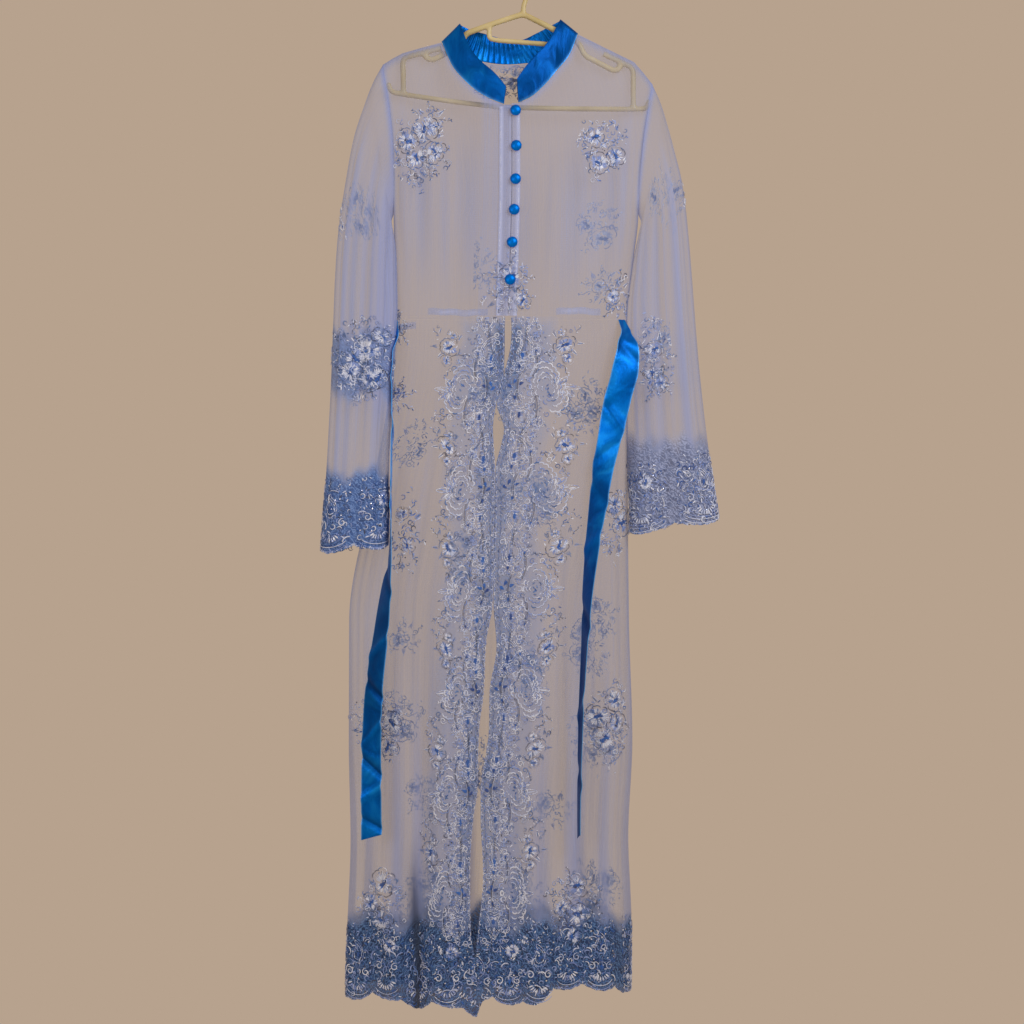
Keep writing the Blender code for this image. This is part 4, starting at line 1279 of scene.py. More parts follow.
def makeCollar():
    wall = collar["frontWall"]
    for side, name in sides.items():
        k, s, grid, down = collarGrid(side, collar["frontPoints"], -1, wall)
        height, count, start = collar["ripples"][side]
        where, wide, deep = collar["dent"][side]
        lift = collar["frontLift"] * s * np.cos(np.pi / 2 * k)
        lift = lift + height * np.sin(count * k * 2 + 3 * s + start) * np.sin(np.pi * s) * 0.6
        lift = lift + deep * bump(k - where - 0.1 * s, wide) * np.sin(np.pi * np.clip(s * 1.2, 0, 1))
        grid[..., 1] -= lift
        pale, wide = collar["rim"]
        rim = pale * bump(s, wide)
        uv = collarUv(grid, down, s, collar["tall"]["front"])
        finishSatin(
            f"collar_front_{name}", grid, uv, wall, rim,
            collar["dim"][side])
    wall = collar["backWall"]
    k, s, grid, down = collarGrid("back", collar["backPoints"], 1, wall)
    ends = np.sin(np.pi * k)
    full = mix(collar["gatherAtEdges"], 1.0, np.sin(np.pi * s))
    wander = 0.6 * np.sin(9 * k + 4 * s) * np.sin(np.pi * s)
    wave = collar["gatherDepth"] * np.minimum(1.0, collar["gatherFade"] * ends) * full
    rib = 1 + np.sin(2 * np.pi * k * collar["gathers"] + wander)
    rib = rib + 0.3 * np.sin(4 * np.pi * k * collar["gathers"] + 1.1)
    grid[..., 1] += collar["backLean"] * s * ends + wave * rib
    uv = collarUv(grid, down, s, collar["tall"]["back"])
    finishSatin("collar_back", grid, uv, wall, 0 * s, collar["dim"]["back"])


makeCollar()
print("collar made")


# Placket of folded tulle down the front, and the covered buttons on it

placket = {
    "left": 18.0,
    "right": 13.0,
    "topDown": 212.0,
    "wall": 1.1,
    "points": (26, 96),
    "hemFold": 0.35,
    "hemFolds": ((-14, 2.2, 1), (9, 2.2, 1), (-1, 1.2, -1.2)),  # place across, wide, height
    "paleEdges": ((-15, 3, 1), (10, 3, 1), (-1, 1.6, 0.7)),
    "ripple": (0.35, 6.3, 9, 31.0),  # height, then the lengths of its waves
    "out": 1.0,
    "buttonOut": 2.2,
    "buttonSegments": 28,
    "pleats": (0.025, 9, 0.15, 0.3),  # depth, count, where and how far up
    "buttonDowns": (218, 270, 319, 364, 412, 467),
    "buttonAcross": (-11, -10, -11, -13, -16, -19),
    "buttonRadius": 8.0,
    "buttonTall": 6.0,
    "buttonProfile": (  # share of the radius, share of the height
        (0.72, 0.0), (0.93, 0.06), (1.0, 0.24), (0.98, 0.42), (0.88, 0.64), (0.68, 0.83), (0.42, 0.95),
        (0.18, 0.99),
    ),
    "seatStep": 6.0,
}


def makePlacket():
    columns, rows = placket["points"]
    downs = np.linspace(placket["topDown"], coat["waistDown"] - 0.2, rows)
    offset, down = np.meshgrid(np.linspace(-placket["left"], placket["right"], columns), downs)
    height, first, aside, second = placket["ripple"]
    ripple = height * np.sin(down / first + offset / aside) * np.sin(down / second)
    fold = placket["hemFold"] * bumps(offset, placket["hemFolds"])
    out = placket["out"] + coat["curvedSeamGap"] + placket["wall"] / 2 + fold + ripple
    grid = bodyPoint(lookUp(centreLine, "across", down) + offset, down, -1, out)
    uv = np.stack([offset, -down], axis=-1)
    shade = {"bunched": bumps(offset, placket["paleEdges"])}
    strip = layNet("placket_folded_tulle", grid, uv, shade, "folded", ["placket"])


# One covered button: a satin cap gathered in under its rim, with soft pleats round it
def buttonMesh():
    radius, tall = placket["buttonRadius"], placket["buttonTall"]
    segments = placket["buttonSegments"]
    turns = np.arange(segments) * 2 * np.pi / segments
    depth, count, middle, reach = placket["pleats"]
    shape = bmesh.new()
    rings = []
    for r, h in placket["buttonProfile"]:
        pleat = 1 + depth * np.sin(count * turns) * bump(h - middle, reach)
        rings.append([shape.verts.new((
            float(r * radius * p * math.cos(a) * mm), float(r * radius * p * math.sin(a) * mm), h * tall * mm,
        )) for a, p in zip(turns, pleat)])
    low = shape.verts.new((0, 0, 0))
    high = shape.verts.new((0, 0, tall * mm))
    for k in range(segments):
        nextK = (k + 1) % segments
        shape.faces.new((low, rings[0][nextK], rings[0][k]))
        shape.faces.new((high, rings[-1][k], rings[-1][nextK]))
        for a, b in zip(rings, rings[1:]):
            shape.faces.new((a[k], a[nextK], b[nextK], b[k]))
    bmesh.ops.recalc_face_normals(shape, faces=shape.faces)
    layer = shape.loops.layers.uv.new("cloth")
    for face in shape.faces:
        face.smooth = True
        for loop in face.loops:
            loop[layer].uv = loop.vert.co.xy
    mesh = bpy.data.meshes.new("button")
    shape.to_mesh(mesh)
    shape.free()
    return mesh


# Geometry nodes that set one shape on every point, turned to the point's own axes
def pointTree(name, byKind):
    tree = bpy.data.node_groups.new(name, "GeometryNodeTree")
    for label, kind in (("Geometry", "Geometry"), ("Shapes", "Collection"), ("Size", "Float"),
                        ("Material", "Material")):
        tree.interface.new_socket(label, in_out="INPUT", socket_type=f"NodeSocket{kind}")
    tree.interface.new_socket("Geometry", in_out="OUTPUT", socket_type="NodeSocketGeometry")
    source = addNode(tree, "NodeGroupInput").outputs

    def named(key, kind):
        return addNode(tree, "GeometryNodeInputNamedAttribute", {"Name": key}, data_type=kind).outputs[0]

    shapes = addNode(tree, "GeometryNodeCollectionInfo", {
        "Collection": source["Shapes"], "Separate Children": True, "Reset Children": True})
    turned = addNode(tree, "FunctionNodeAxesToRotation", {
        "Primary Axis": named("outward", "FLOAT_VECTOR"), "Secondary Axis": named("right", "FLOAT_VECTOR"),
    }, primary_axis="Z", secondary_axis="X")
    scale = addNode(tree, "ShaderNodeVectorMath", {
        0: named("size", "FLOAT_VECTOR"), "Scale": source["Size"]}, operation="SCALE")
    placed = addNode(tree, "GeometryNodeInstanceOnPoints", {
        "Points": source["Geometry"], "Instance": shapes.outputs[0], "Pick Instance": byKind,
        "Rotation": turned.outputs[0], "Scale": scale.outputs[0]})
    if byKind:
        tree.links.new(named("kind", "INT"), placed.inputs["Instance Index"])
    real = addNode(tree, "GeometryNodeRealizeInstances", {"Geometry": placed.outputs[0]})
    painted = addNode(tree, "GeometryNodeSetMaterial", {
        "Geometry": real.outputs[0], "Material": source["Material"]})
    addNode(tree, "NodeGroupOutput", {"Geometry": painted.outputs[0]})
    return tree


trees = {"one": pointTree("one shape on points", False), "many": pointTree("stitches on points", True)}


# Runs a tree on points that carry their axes, size, kind and tone, and keeps the plain mesh
def shapesOnPoints(name, tree, shapes, places, outward, right, size, material, kind=None, tone=None):
    mesh = bpy.data.meshes.new(name)
    mesh.from_pydata((np.asarray(places) * mm).tolist(), [], [])
    vectors = {"outward": outward, "right": right, "size": size}
    for key, values in vectors.items():
        full = np.broadcast_to(np.asarray(values, np.float32), (len(places), 3))
        mesh.attributes.new(key, "FLOAT_VECTOR", "POINT").data.foreach_set("vector", full.ravel())
    tones = dice.random(len(places)) if tone is None else tone
    mesh.attributes.new("tone", "FLOAT", "POINT").data.foreach_set("value", np.asarray(tones, np.float32))
    if kind is not None:
        mesh.attributes.new("kind", "INT", "POINT").data.foreach_set("value", np.asarray(kind, np.int32))
    thing = meshObject(name, mesh)
    grower = thing.modifiers.new(tree.name, "NODES")
    grower.node_group = tree
    values = {"Shapes": shapes, "Size": 1.0, "Material": material}
    for item in tree.interface.items_tree:
        if item.in_out == "INPUT" and item.name in values:
            grower[item.identifier] = values[item.name]
    settle(thing)
    for key in list(vectors) + ["kind"]:
        if key in thing.data.attributes:
            thing.data.attributes.remove(thing.data.attributes[key])
    return thing


def shapeCollection(name, meshes):
    group = bpy.data.collections.new(name)
    bpy.context.scene.collection.children.link(group)
    for number, mesh in enumerate(meshes):
        group.objects.link(bpy.data.objects.new(f"{name}{number:02d}", mesh))
    return group


def dropCollection(group):
    for thing in list(group.objects):
        bpy.data.objects.remove(thing, do_unlink=True)
    bpy.data.collections.remove(group)


def makeButtons():
    across = np.array(placket["buttonAcross"], float)
    down = np.array(placket["buttonDowns"], float)
    step = placket["seatStep"]

    def seatAt(aside, below):
        lift = placket["buttonOut"] + 2 * coat["curvedSeamGap"]
        return bodyPoint(across + aside, down + below, -1, lift)

    up = unit(seatAt(0, -step) - seatAt(0, step))
    outward = unit(np.cross(seatAt(step, 0) - seatAt(-step, 0), up))
    group = shapeCollection("button", [buttonMesh()])
    buttons = shapesOnPoints(
        "covered_buttons", trees["one"], group, seatAt(0, 0), outward, unit(np.cross(up, outward)), (1, 1, 1),
        finishes["satin"])
    dropCollection(group)
    seat(buttons, [f"button_{k}" for k in range(1, 7)])


makePlacket()
makeButtons()
print("placket and buttons made")


# Seam allowances of the waist, folded up inside and pale through the net
allowances = {
    "strips": {  # from and to across, down
        "waist_allowance_left": (-140, -52, 514),
        "waist_allowance_right": (48, 114, 513),
        "waist_allowance_side": (-186, -158, 533),
    },
    "tall": 10,
    "rows": 6,
    "columnStep": 4,
    "wander": ((1.2, 17.0, 0), (0.6, 5.0, 0)),
    "inward": 1.0,
    "ripple": ((0.4, 6.0, 0),),
    "endFade": 22,
    "fullness": 1.06,  # the strip's length along its ripples, for each unit across
}


def makeAllowances():
    tall, rows, fade = allowances["tall"], allowances["rows"], allowances["endFade"]
    for name, (start, end, middle) in allowances["strips"].items():
        count = max(8, int((end - start) / allowances["columnStep"]))
        across, down = np.meshgrid(np.linspace(start, end, count + 1), np.linspace(-0.5, 0.5, rows))
        down = middle + tall * down + wavy(across, allowances["wander"])
        grid = bodyPoint(across, down, -1, wavy(across, allowances["ripple"]) - allowances["inward"])
        upDown = bump(np.linspace(-1, 1, rows)[:, None], 0.7)
        ends = ease((across - start) / fade) * ease((end - across) / fade) * upDown
        shade = {"bunched": (0.7 + 0.3 * np.sin(across / 9.0 + down / 3.0)) * ends}
        strip = layNet(name, grid, panelUv(grid, down), shade, "folded", ())


makeAllowances()
print("waist allowances made")


# Satin ties that hang from the side seams

ties = {
    # The dim column is painted shade along each tie
    "columns": ("down", "across", "forward", "wide", "turn", "dim"),
    -1: (
        (545, -186, 30, 18, -66, 0.1), (575, -191, 38, 26, -86, 0.1), (640, -191, 42, 32, -88, 0.2),
        (770, -191, 58, 34, -88, 0.3), (860, -192, 68, 34, -82, 0.45), (920, -199, 74, 34, -64, 0.65),
        (967, -204, 78, 33, -50, 0.8), (1085, -217, 80, 32, -32, 0.8), (1170, -219, 80, 31, -20, 0.5),
        (1277, -219, 78, 31, -14, 0.4),
    ),
    1: (
        (540, 150, 28, 22, 50, 0.4), (562, 153, 38, 32, 20, 0.35), (604, 148, 47, 40, 4, 0.25),
        (641, 138, 52, 40, -6, 0.05), (700, 126, 58, 38, -22, 0.05), (745, 116, 62, 36, -34, 0.25),
        (804, 107, 68, 35, -46, 0.4), (863, 99, 74, 34, -56, 0.5), (937, 92, 78, 34, -68, 0.75),
        (1000, 89, 82, 33, -76, 0.95), (1115, 84, 84, 32, -80, 1.1), (1275, 80, 86, 30, -84, 1.1),
    ),
    "rootAround": {-1: (-87, -77), 1: (66, 76)},
    "rootDown": 524.0,
    "endSlant": 9.0,
    "wall": 0.9,
    "columnCount": 18,
    "rowStep": 4.0,
    "creaseShare": 1.9,
    # creaseShade: how much painted shade and highlight the creases add to dim
    "creaseShade": 0.22,
    "creases": {  # down, height, wide, slant
        -1: ((600, 1.0, 9, 0.4), (690, -1.2, 10, -0.5), (780, 0.9, 8, 0.6), (905, -1.2, 9, 0.7),
             (1000, 1.3, 8, -0.6), (1063, -1.6, 6, 0.5), (1126, 1.8, 6, -0.7), (1174, -1.9, 6, 0.5),
             (1212, 1.6, 6, -0.4), (1256, -1.8, 5, 0.3)),
        1: ((572, -1.2, 9, 0.6), (628, 1.2, 10, -0.5), (668, -1.3, 8, 0.7), (720, 1.2, 9, -0.5),
            (778, -1.2, 8, 0.6), (850, 1.1, 9, -0.4), (960, -1.1, 10, 0.5), (1090, 1.0, 10, -0.5),
            (1190, -1.0, 9, 0.4)),
    },
    "cup": 1.6,  # how far the edges curl forward
    "cupLength": 83.0,
    "rootShares": (0.0, 0.34, 0.67),
    "rootOut": 1.5,
    "flatWide": 34,
    "rim": (0.8, 0.03),
}


def makeTies():
    for side, name in sides.items():
        first, last = ties[side][0][0], ties[side][-1][0]
        downs = np.arange(first, last + 0.1, ties["rowStep"])
        downs[-1] = last
        share = np.linspace(-0.5, 0.5, ties["columnCount"] + 1)
        down, s = np.meshgrid(downs, share, indexing="ij")
        across, forward, wide, turn, dim = (lookUp(ties, key, down, side) for key in ties["columns"][1:])
        turn = np.radians(turn)
        grid = np.stack([across, -forward, -down], axis=-1)
        reach = np.stack([np.cos(turn), np.sin(turn), 0 * turn], axis=-1)
        away = np.stack([np.sin(turn), -np.cos(turn), 0 * turn], axis=-1)
        curl = ties["cup"] * (4 * s * s - 0.4) * np.sin(down / ties["cupLength"] + side)
        crease = 0 * down
        for place, height, broad, slant in ties["creases"][side]:
            crease = crease + height * bump(down - place - 1.6 * slant * s * wide, broad)
        curl = curl + ties["creaseShare"] * crease
        # Painted crease shade and highlight: darker where a crease's height is below zero, lighter where
        # above
        dim = dim - ties["creaseShade"] * crease
        grid += reach * (wide * s)[..., None] + away * (curl + 0.5 * ties["wall"])[..., None]
        grid[-1, :, 2] += ties["endSlant"] * share
        grid[-2, :, 2] += 0.5 * ties["endSlant"] * share
        arounds = np.linspace(*ties["rootAround"][side], len(share))
        root = bodyAt(arounds, ties["rootDown"] + 0 * arounds, -1, ties["rootOut"] + coat["curvedSeamGap"])
        grid = np.concatenate([[mix(root, grid[0], t) for t in ties["rootShares"]], grid])
        downs = np.concatenate([mix(ties["rootDown"], first, np.array(ties["rootShares"])), downs])
        dim = np.concatenate([dim[[0, 0, 0]], dim])
        flatWide = ties["flatWide"]
        uv = np.stack(np.broadcast_arrays(flatWide * share[None], -downs[:, None]), axis=-1)
        pale, reach = ties["rim"]
        finishSatin(
            f"tie_{name}", grid, uv, ties["wall"],
            pale * bump(0.5 - np.abs(uv[..., 0]) / flatWide, reach), dim)


makeTies()
print("ties made")


# Plastic hanger: rods welded into one moulding, smoothed where they meet

hanger = {
    "hookRod": 4.0,
    "hookInner": 18.0,
    "bend": 9.0,
    "bendSteps": 6,
    "bendLimit": 2.2,
    "hookStem": ((0, 70), (1, 58), (4, 48)),
    "hookAngles": (-52, 205),
    "hookSteps": 30,
    "rods": (  # radius, then corners across and down
        (4.5, ((-147, 126), (-143, 136), (-133, 138), (-90, 117), (-87, 100), (-49, 86), (0, 70),
               (44, 92), (84, 114), (90, 131), (134, 154), (142, 152), (145, 141))),
        (4.3, ((-121, 120), (-146, 127), (-178, 135), (-177, 188))),
        (4.3, ((119, 129), (146, 142), (163, 150), (163, 210))),
        (4.1, ((-200, 172), (-196, 185), (-178, 189), (-108, 199), (-34, 208), (55, 210), (163, 211),
               (183, 210), (187, 197))),
        (3.8, ((-49, 87), (-51, 106), (-38, 109), (40, 115), (55, 112), (56, 98))),
    ),
    "weld": 1.7,  # size of the cells in which the rods are welded
    "smoothing": 6,
}


def roundedPath(points):
    places = [Vector((x, 0.0, -down)) for x, down in points]
    path = [places[0]]
    for before, corner, after in zip(places, places[1:], places[2:]):
        shortest = min((corner - before).length, (after - corner).length)
        reach = min(hanger["bend"], shortest / hanger["bendLimit"])
        first = corner + (before - corner).normalized() * reach
        last = corner + (after - corner).normalized() * reach
        for k in range(hanger["bendSteps"] + 1):
            t = k / hanger["bendSteps"]
            path.append(first * (1 - t) ** 2 + corner * 2 * t * (1 - t) + last * t * t)
    path.append(places[-1])
    return path


def makeHanger():
    curve = bpy.data.curves.new("hanger rods", "CURVE")
    curve.dimensions = "3D"
    curve.bevel_depth = mm
    curve.bevel_resolution = 4
    curve.use_fill_caps = True
    reach = hanger["hookInner"] + hanger["hookRod"]
    hook = [Vector((x, 0.0, -down)) for x, down in hanger["hookStem"]]
    for k in range(hanger["hookSteps"] + 1):
        angle = math.radians(mix(*hanger["hookAngles"], k / hanger["hookSteps"]))
        hook.append(Vector((math.cos(angle) * reach, 0.0, math.sin(angle) * reach - hanger["hookInner"])))
    for radius, path in [(hanger["hookRod"], hook)] + [(r, roundedPath(p)) for r, p in hanger["rods"]]:
        spline = curve.splines.new("POLY")
        spline.points.add(len(path) - 1)
        for point, place in zip(spline.points, path):
            point.co = (*(place * mm), 1.0)
            point.radius = radius
    rods = sceneObject("rods", curve)
    bpy.context.view_layer.update()
    mesh = bpy.data.meshes.new_from_object(rods.evaluated_get(bpy.context.evaluated_depsgraph_get()))
    bpy.data.objects.remove(rods, do_unlink=True)
    moulded = meshObject("hanger_moulded", mesh, finishes["plastic"])
    weld = moulded.modifiers.new("weld", "REMESH")
    weld.mode = "VOXEL"
    weld.voxel_size = hanger["weld"] * mm
    smooth = moulded.modifiers.new("smooth", "SMOOTH")
    smooth.iterations = hanger["smoothing"]
    settle(moulded)
    smoothFaces(moulded.data)
    moulded.data.materials.clear()
    moulded.data.materials.append(finishes["plastic"])
    seat(moulded, ["hanger"])


makeHanger()
print("hanger made")


# Stitch shapes, one unit long: crowned ribbons along a line, and crowned blobs

def stitchMesh(name, verts, faces, flatPlaceOf):
    mesh = bpy.data.meshes.new(name)
    mesh.from_pydata(verts, [], faces)
    layer = mesh.uv_layers.new(name="stitch")
    for loop, data in zip(mesh.loops, layer.data):
        data.uv = flatPlaceOf(loop.vertex_index)
    smoothFaces(mesh)
    return mesh


def ribbonShape(name, line, widths):
    line = np.asarray(line, float)
    along = unit(np.vstack([line[1:], line[-1:]]) - np.vstack([line[:1], line[:-1]]))
    sideways = np.stack([-along[:, 1], along[:, 0]], axis=-1) * np.asarray(widths, float)[:, None] / 2
    verts = []
    for centre, reach in zip(line, sideways):
        verts += [(*(centre - reach), 0.0), (*centre, 1.0), (*(centre + reach), 0.0)]
    faces = [(k, k + 3, k + 4, k + 1) for start in range(0, len(verts) - 3, 3) for k in (start, start + 1)]
    lengths = lengthsAlong(line)
    return stitchMesh(name, verts, faces, lambda k: (lengths[k // 3] * 6, k % 3 / 2))


def blobShape(name, outline, centre=(0.0, 0.0)):
    verts = [(*centre, 1.0)] + [(x, y, 0.0) for x, y in outline]
    count = len(outline)
    faces = [(0, 1 + k, 1 + (k + 1) % count) for k in range(count)]
    return stitchMesh(name, verts, faces, lambda k: (verts[k][0] * 6, verts[k][1] + 0.5))


def arcLine(start, end, count, radius=0.5, shrink=0.0):
    t = np.linspace(0, 1, count + 1)
    angle = np.radians(mix(start, end, t))
    r = radius * (1 - shrink * t)
    return np.stack([r * np.cos(angle), r * np.sin(angle)], axis=-1)


def taper(count, wide, ends=0.35):
    t = np.linspace(0, 1, count + 1)
    return wide * mix(ends, 1.0, np.sin(np.pi * t) ** 0.7)


# A soft closed line through a few corners
def softLoop(corners, steps=2):
    corners = np.asarray(corners, float)
    line = []
    for k in range(len(corners)):
        four = [corners[(k + j - 1) % len(corners)] for j in range(4)]
        line += [between(*four, t) for t in np.arange(steps) / steps]
    return np.array(line)


half = [(0.28, 0.12), (0.1, 0.26), (-0.12, 0.3), (-0.3, 0.2), (-0.42, 0.32), (-0.5, 0.18)]
outlines = {
    "paisley": softLoop([
        (-0.5, 0.02), (-0.42, -0.22), (-0.2, -0.33), (0.05, -0.28), (0.27, -0.12), (0.42, 0.06), (0.5, 0.3),
        (0.34, 0.22), (0.16, 0.2), (-0.08, 0.27), (-0.3, 0.24), (-0.45, 0.14)]),
    "tulip": softLoop([(0.5, 0.0), *half, (-0.4, 0.0), *[(x, -y) for x, y in half[::-1]]]),
    "oval": arcLine(0, 345, 23),
    "pointed": softLoop([(-0.5, 0.0), (-0.15, 0.42), (0.2, 0.34), (0.5, 0.0), (0.2, -0.34), (-0.15, -0.42)]),
}


def stitchShapes():
    petal = [(-0.5, 0.0), (-0.22, 0.26), (0.12, 0.46), (0.38, 0.36), (0.5, 0.0), (0.38, -0.36), (0.12, -0.46),
             (-0.22, -0.26)]
    leaf = [(-0.5, 0.0), (-0.2, 0.4), (0.16, 0.44), (0.5, 0.0), (0.16, -0.44), (-0.2, -0.4)]
    dot = [(0.5 * math.cos(a), 0.5 * math.sin(a)) for a in np.radians(np.arange(0, 360, 60))]
    bar = np.stack([np.linspace(-0.5, 0.5, 3), np.zeros(3)], axis=-1)
    wave = np.stack([np.linspace(-0.5, 0.5, 9), 0.16 * np.sin(np.linspace(0, 2 * np.pi, 9))], axis=-1)
    return {
        "petal": blobShape("petal", petal, (0.08, 0.0)),
        "leaf": blobShape("leaf", leaf),
        "dot": blobShape("dot", dot),
        "bar": ribbonShape("bar", bar, (0.6, 1.0, 0.6)),
        "curl": ribbonShape("curl", arcLine(40, 320, 7, 0.5, 0.15), taper(7, 0.2)),
        "hook": ribbonShape("hook", arcLine(-90, 330, 12, 0.5, 0.72), taper(12, 0.14, 0.5)),
        "arch": ribbonShape("arch", arcLine(30, 150, 5, 0.57), taper(5, 0.17)),
        "scallop": ribbonShape("scallop", arcLine(20, 160, 6, 0.53), taper(6, 0.25, 0.5)),
        "cord": ribbonShape("cord", arcLine(30, 150, 10, 0.57), taper(10, 0.036, 0.6)),
        "crescent": ribbonShape("crescent", arcLine(15, 165, 8, 0.5), taper(8, 0.2, 0.08)),
        "wave": ribbonShape("wave", wave, taper(8, 0.07)),
    }


shapes = stitchShapes()
shapeNumber = {name: number for number, name in enumerate(shapes)}
threads = ("dark", "steel", "periwinkle", "deep", "silver", "sequin")
sewn = {thread: [] for thread in threads}
threadLift = {"dark": 0.55, "steel": 0.6, "periwinkle": 0.7, "deep": 0.8, "silver": 0.9, "sequin": 1.0}


def pick(choices):
    names = list(choices)
    weights = np.array([choices[name] for name in names], float)
    return names[int(dice.choice(len(names), p=weights / weights.sum()))]


# A motif is a list of stitches: thread, shape, x, y, turn in degrees, long, wide, all in mm
def stitch(motif, thread, shape, x, y, turn, long, wide=None):
    motif.append((thread, shape, x, y, turn, long, long if wide is None else wide))


def stamp(surface, motif, u, v):
    for thread, shape, x, y, angle, long, wide in motif:
        sewn[thread].append((
            u + x + surface["start"], v + y, math.radians(angle), long, wide, shapeNumber[shape]))


def sewOne(surface, thread, shape, u, v, turn, long, wide):
    stamp(surface, [(thread, shape, 0.0, 0.0, turn, long, wide)], float(u), float(v))


def turned(x, y, turn):
    lean = math.radians(turn)
    return x * math.cos(lean) - y * math.sin(lean), x * math.sin(lean) + y * math.cos(lean)


def polar(x, y, reach, turn):
    return x + reach * math.cos(math.radians(turn)), y + reach * math.sin(math.radians(turn))


# Chances of each thread: how many parts of the mixture it takes
paleMix = {"silver": 2, "periwinkle": 1}
evenMix = {"silver": 1, "periwinkle": 1}
greyMix = {"silver": 2, "steel": 1}
leafMix = {"silver": 3, "periwinkle": 3, "steel": 2}
edgeMix = {"silver": 3, "periwinkle": 4, "steel": 3}


# An outline sewn as a row of short strokes, whose threads change along the way
def addOutline(motif, mixture, name, x, y, turn, long, wide, step=3.4, thick=1.25):
    line = outlines[name] * (long, wide)
    line = np.vstack([line, line[:1]])
    lengths = lengthsAlong(line)
    stops = np.linspace(0, lengths[-1], max(5, round(lengths[-1] / step)) + 1)
    places = np.stack([np.interp(stops, lengths, line[:, k]) for k in (0, 1)], axis=-1)
    for (x0, y0), (x1, y1) in zip(places, places[1:]):
        angle = turn + math.degrees(math.atan2(y1 - y0, x1 - x0)) + dice.uniform(-14, 14)
        right, up = turned((x0 + x1) / 2, (y0 + y1) / 2, turn)
        stroke = 1.25 * math.hypot(x1 - x0, y1 - y0)
        thread = pick(mixture)
        stitch(motif, thread, "leaf", x + right, y + up, angle, stroke, thick * dice.uniform(0.8, 1.2))


bloom = {
    "heart": 0.26,  # where the petals start, as a share of the radius
    "fan": (-21, -11, 0, 11, 21),  # turns of the strokes of one petal
    "rims": (-10, 10),
    "heartStrokes": 12,
}


# A ragged bloom: petals of thin fanned strokes under broken outlines, round an uneven dark blue heart
def addBloom(motif, x, y, radius, petals=7, heart="deep"):
    start = dice.uniform(0, 360)
    inner = bloom["heart"] * radius
    for k in range(petals):
        turn = start + 360 / petals * k + dice.uniform(-19, 19)
        reach = radius * dice.uniform(0.66, 1.12)
        thread = pick({"silver": 7, "periwinkle": 3})
        for spread in bloom["fan"]:
            long = (reach - inner) * (1 - 0.011 * abs(spread)) * dice.uniform(0.72, 1.05)
            place = polar(x, y, inner + long / 2, turn + spread)
            stroke = thread if dice.random() < 0.65 else pick({"silver": 1, "periwinkle": 1, "steel": 1})
            stitch(motif, stroke, "leaf", *place, turn + 1.4 * spread, long, max(1.2, radius * 0.12))
        for spread in bloom["rims"]:
            place = polar(x, y, reach * 0.9, turn + spread)
            outline = pick({"dark": 2, "steel": 3, "silver": 1})
            stitch(motif, outline, "arch", *place, turn - 90 + 2.4 * spread, radius * 0.46, radius * 0.38)
    lean = dice.uniform(0, 360)
    for k in range(bloom["heartStrokes"]):
        place = polar(x, y, radius * dice.uniform(-0.32, 0.32), lean + dice.uniform(-25, 25))
        long = radius * dice.uniform(0.34, 0.56)
        thread = heart if k % 4 else "dark"
        stitch(motif, thread, "leaf", *place, lean + dice.uniform(-60, 60), long, long * 0.42)
    for k in range(3):
        stitch(motif, "silver", "dot", *polar(x, y, radius * 0.2, start + 120 * k), 0, radius * 0.1)


# A pointed leaf of slender strokes with a dark rib
def addLeaf(motif, x, y, turn, long, thread=None):
    thread = thread or pick(leafMix)
    for spread, middle, share in ((-17, 0.45, 0.74), (0, 0.5, 0.94), (17, 0.45, 0.74)):
        place = polar(x, y, long * middle, turn + spread)
        stroke = thread if spread else "steel"
        stitch(motif, stroke, "leaf", *place, turn - spread * 0.7, long * share, long * 0.1)
    stitch(motif, thread, "dot", *polar(x, y, long * 0.97, turn), 0, 1.6)


def addSprig(motif, x, y, turn, length, leaves=5):
    stem = pick({"steel": 2, "dark": 1})
    stitch(motif, stem, "wave", *polar(x, y, length / 2, turn), turn, length, length * 0.6)
    for k in range(leaves):
        side = 1 if k % 2 else -1
        long = length * dice.uniform(0.2, 0.32)
        lean = turn + side * dice.uniform(34, 58)
        place = polar(*polar(x, y, length * (k + 0.7) / leaves, turn), long / 2, lean)
        thread = pick({"periwinkle": 3, "silver": 3, "steel": 2})
        stitch(motif, thread, "leaf", *place, lean, long, long * 0.34)
    stitch(motif, pick({"dark": 1, "silver": 1}), "dot", *polar(x, y, length * 1.06, turn), 0, 1.8)


sprayMixture = {
    ("periwinkle", "leaf"): 5, ("silver", "leaf"): 5, ("steel", "leaf"): 2.4, ("deep", "leaf"): 0.8,
    ("periwinkle", "curl"): 3.4, ("silver", "curl"): 3, ("steel", "curl"): 1.6, ("dark", "curl"): 0.7,
    ("dark", "dot"): 1.8, ("silver", "dot"): 2.6, ("steel", "arch"): 1.2, ("periwinkle", "hook"): 1.6,
    ("silver", "hook"): 1.0,
}


def addStroke(motif, mixture, x, y, long):
    thread, shape = pick(mixture)
    size = long * {"dot": 0.32, "hook": 1.15}.get(shape, 1.0)
    stitch(motif, thread, shape, x, y, dice.uniform(0, 360), size, size * (0.3 if shape == "leaf" else 1.0))


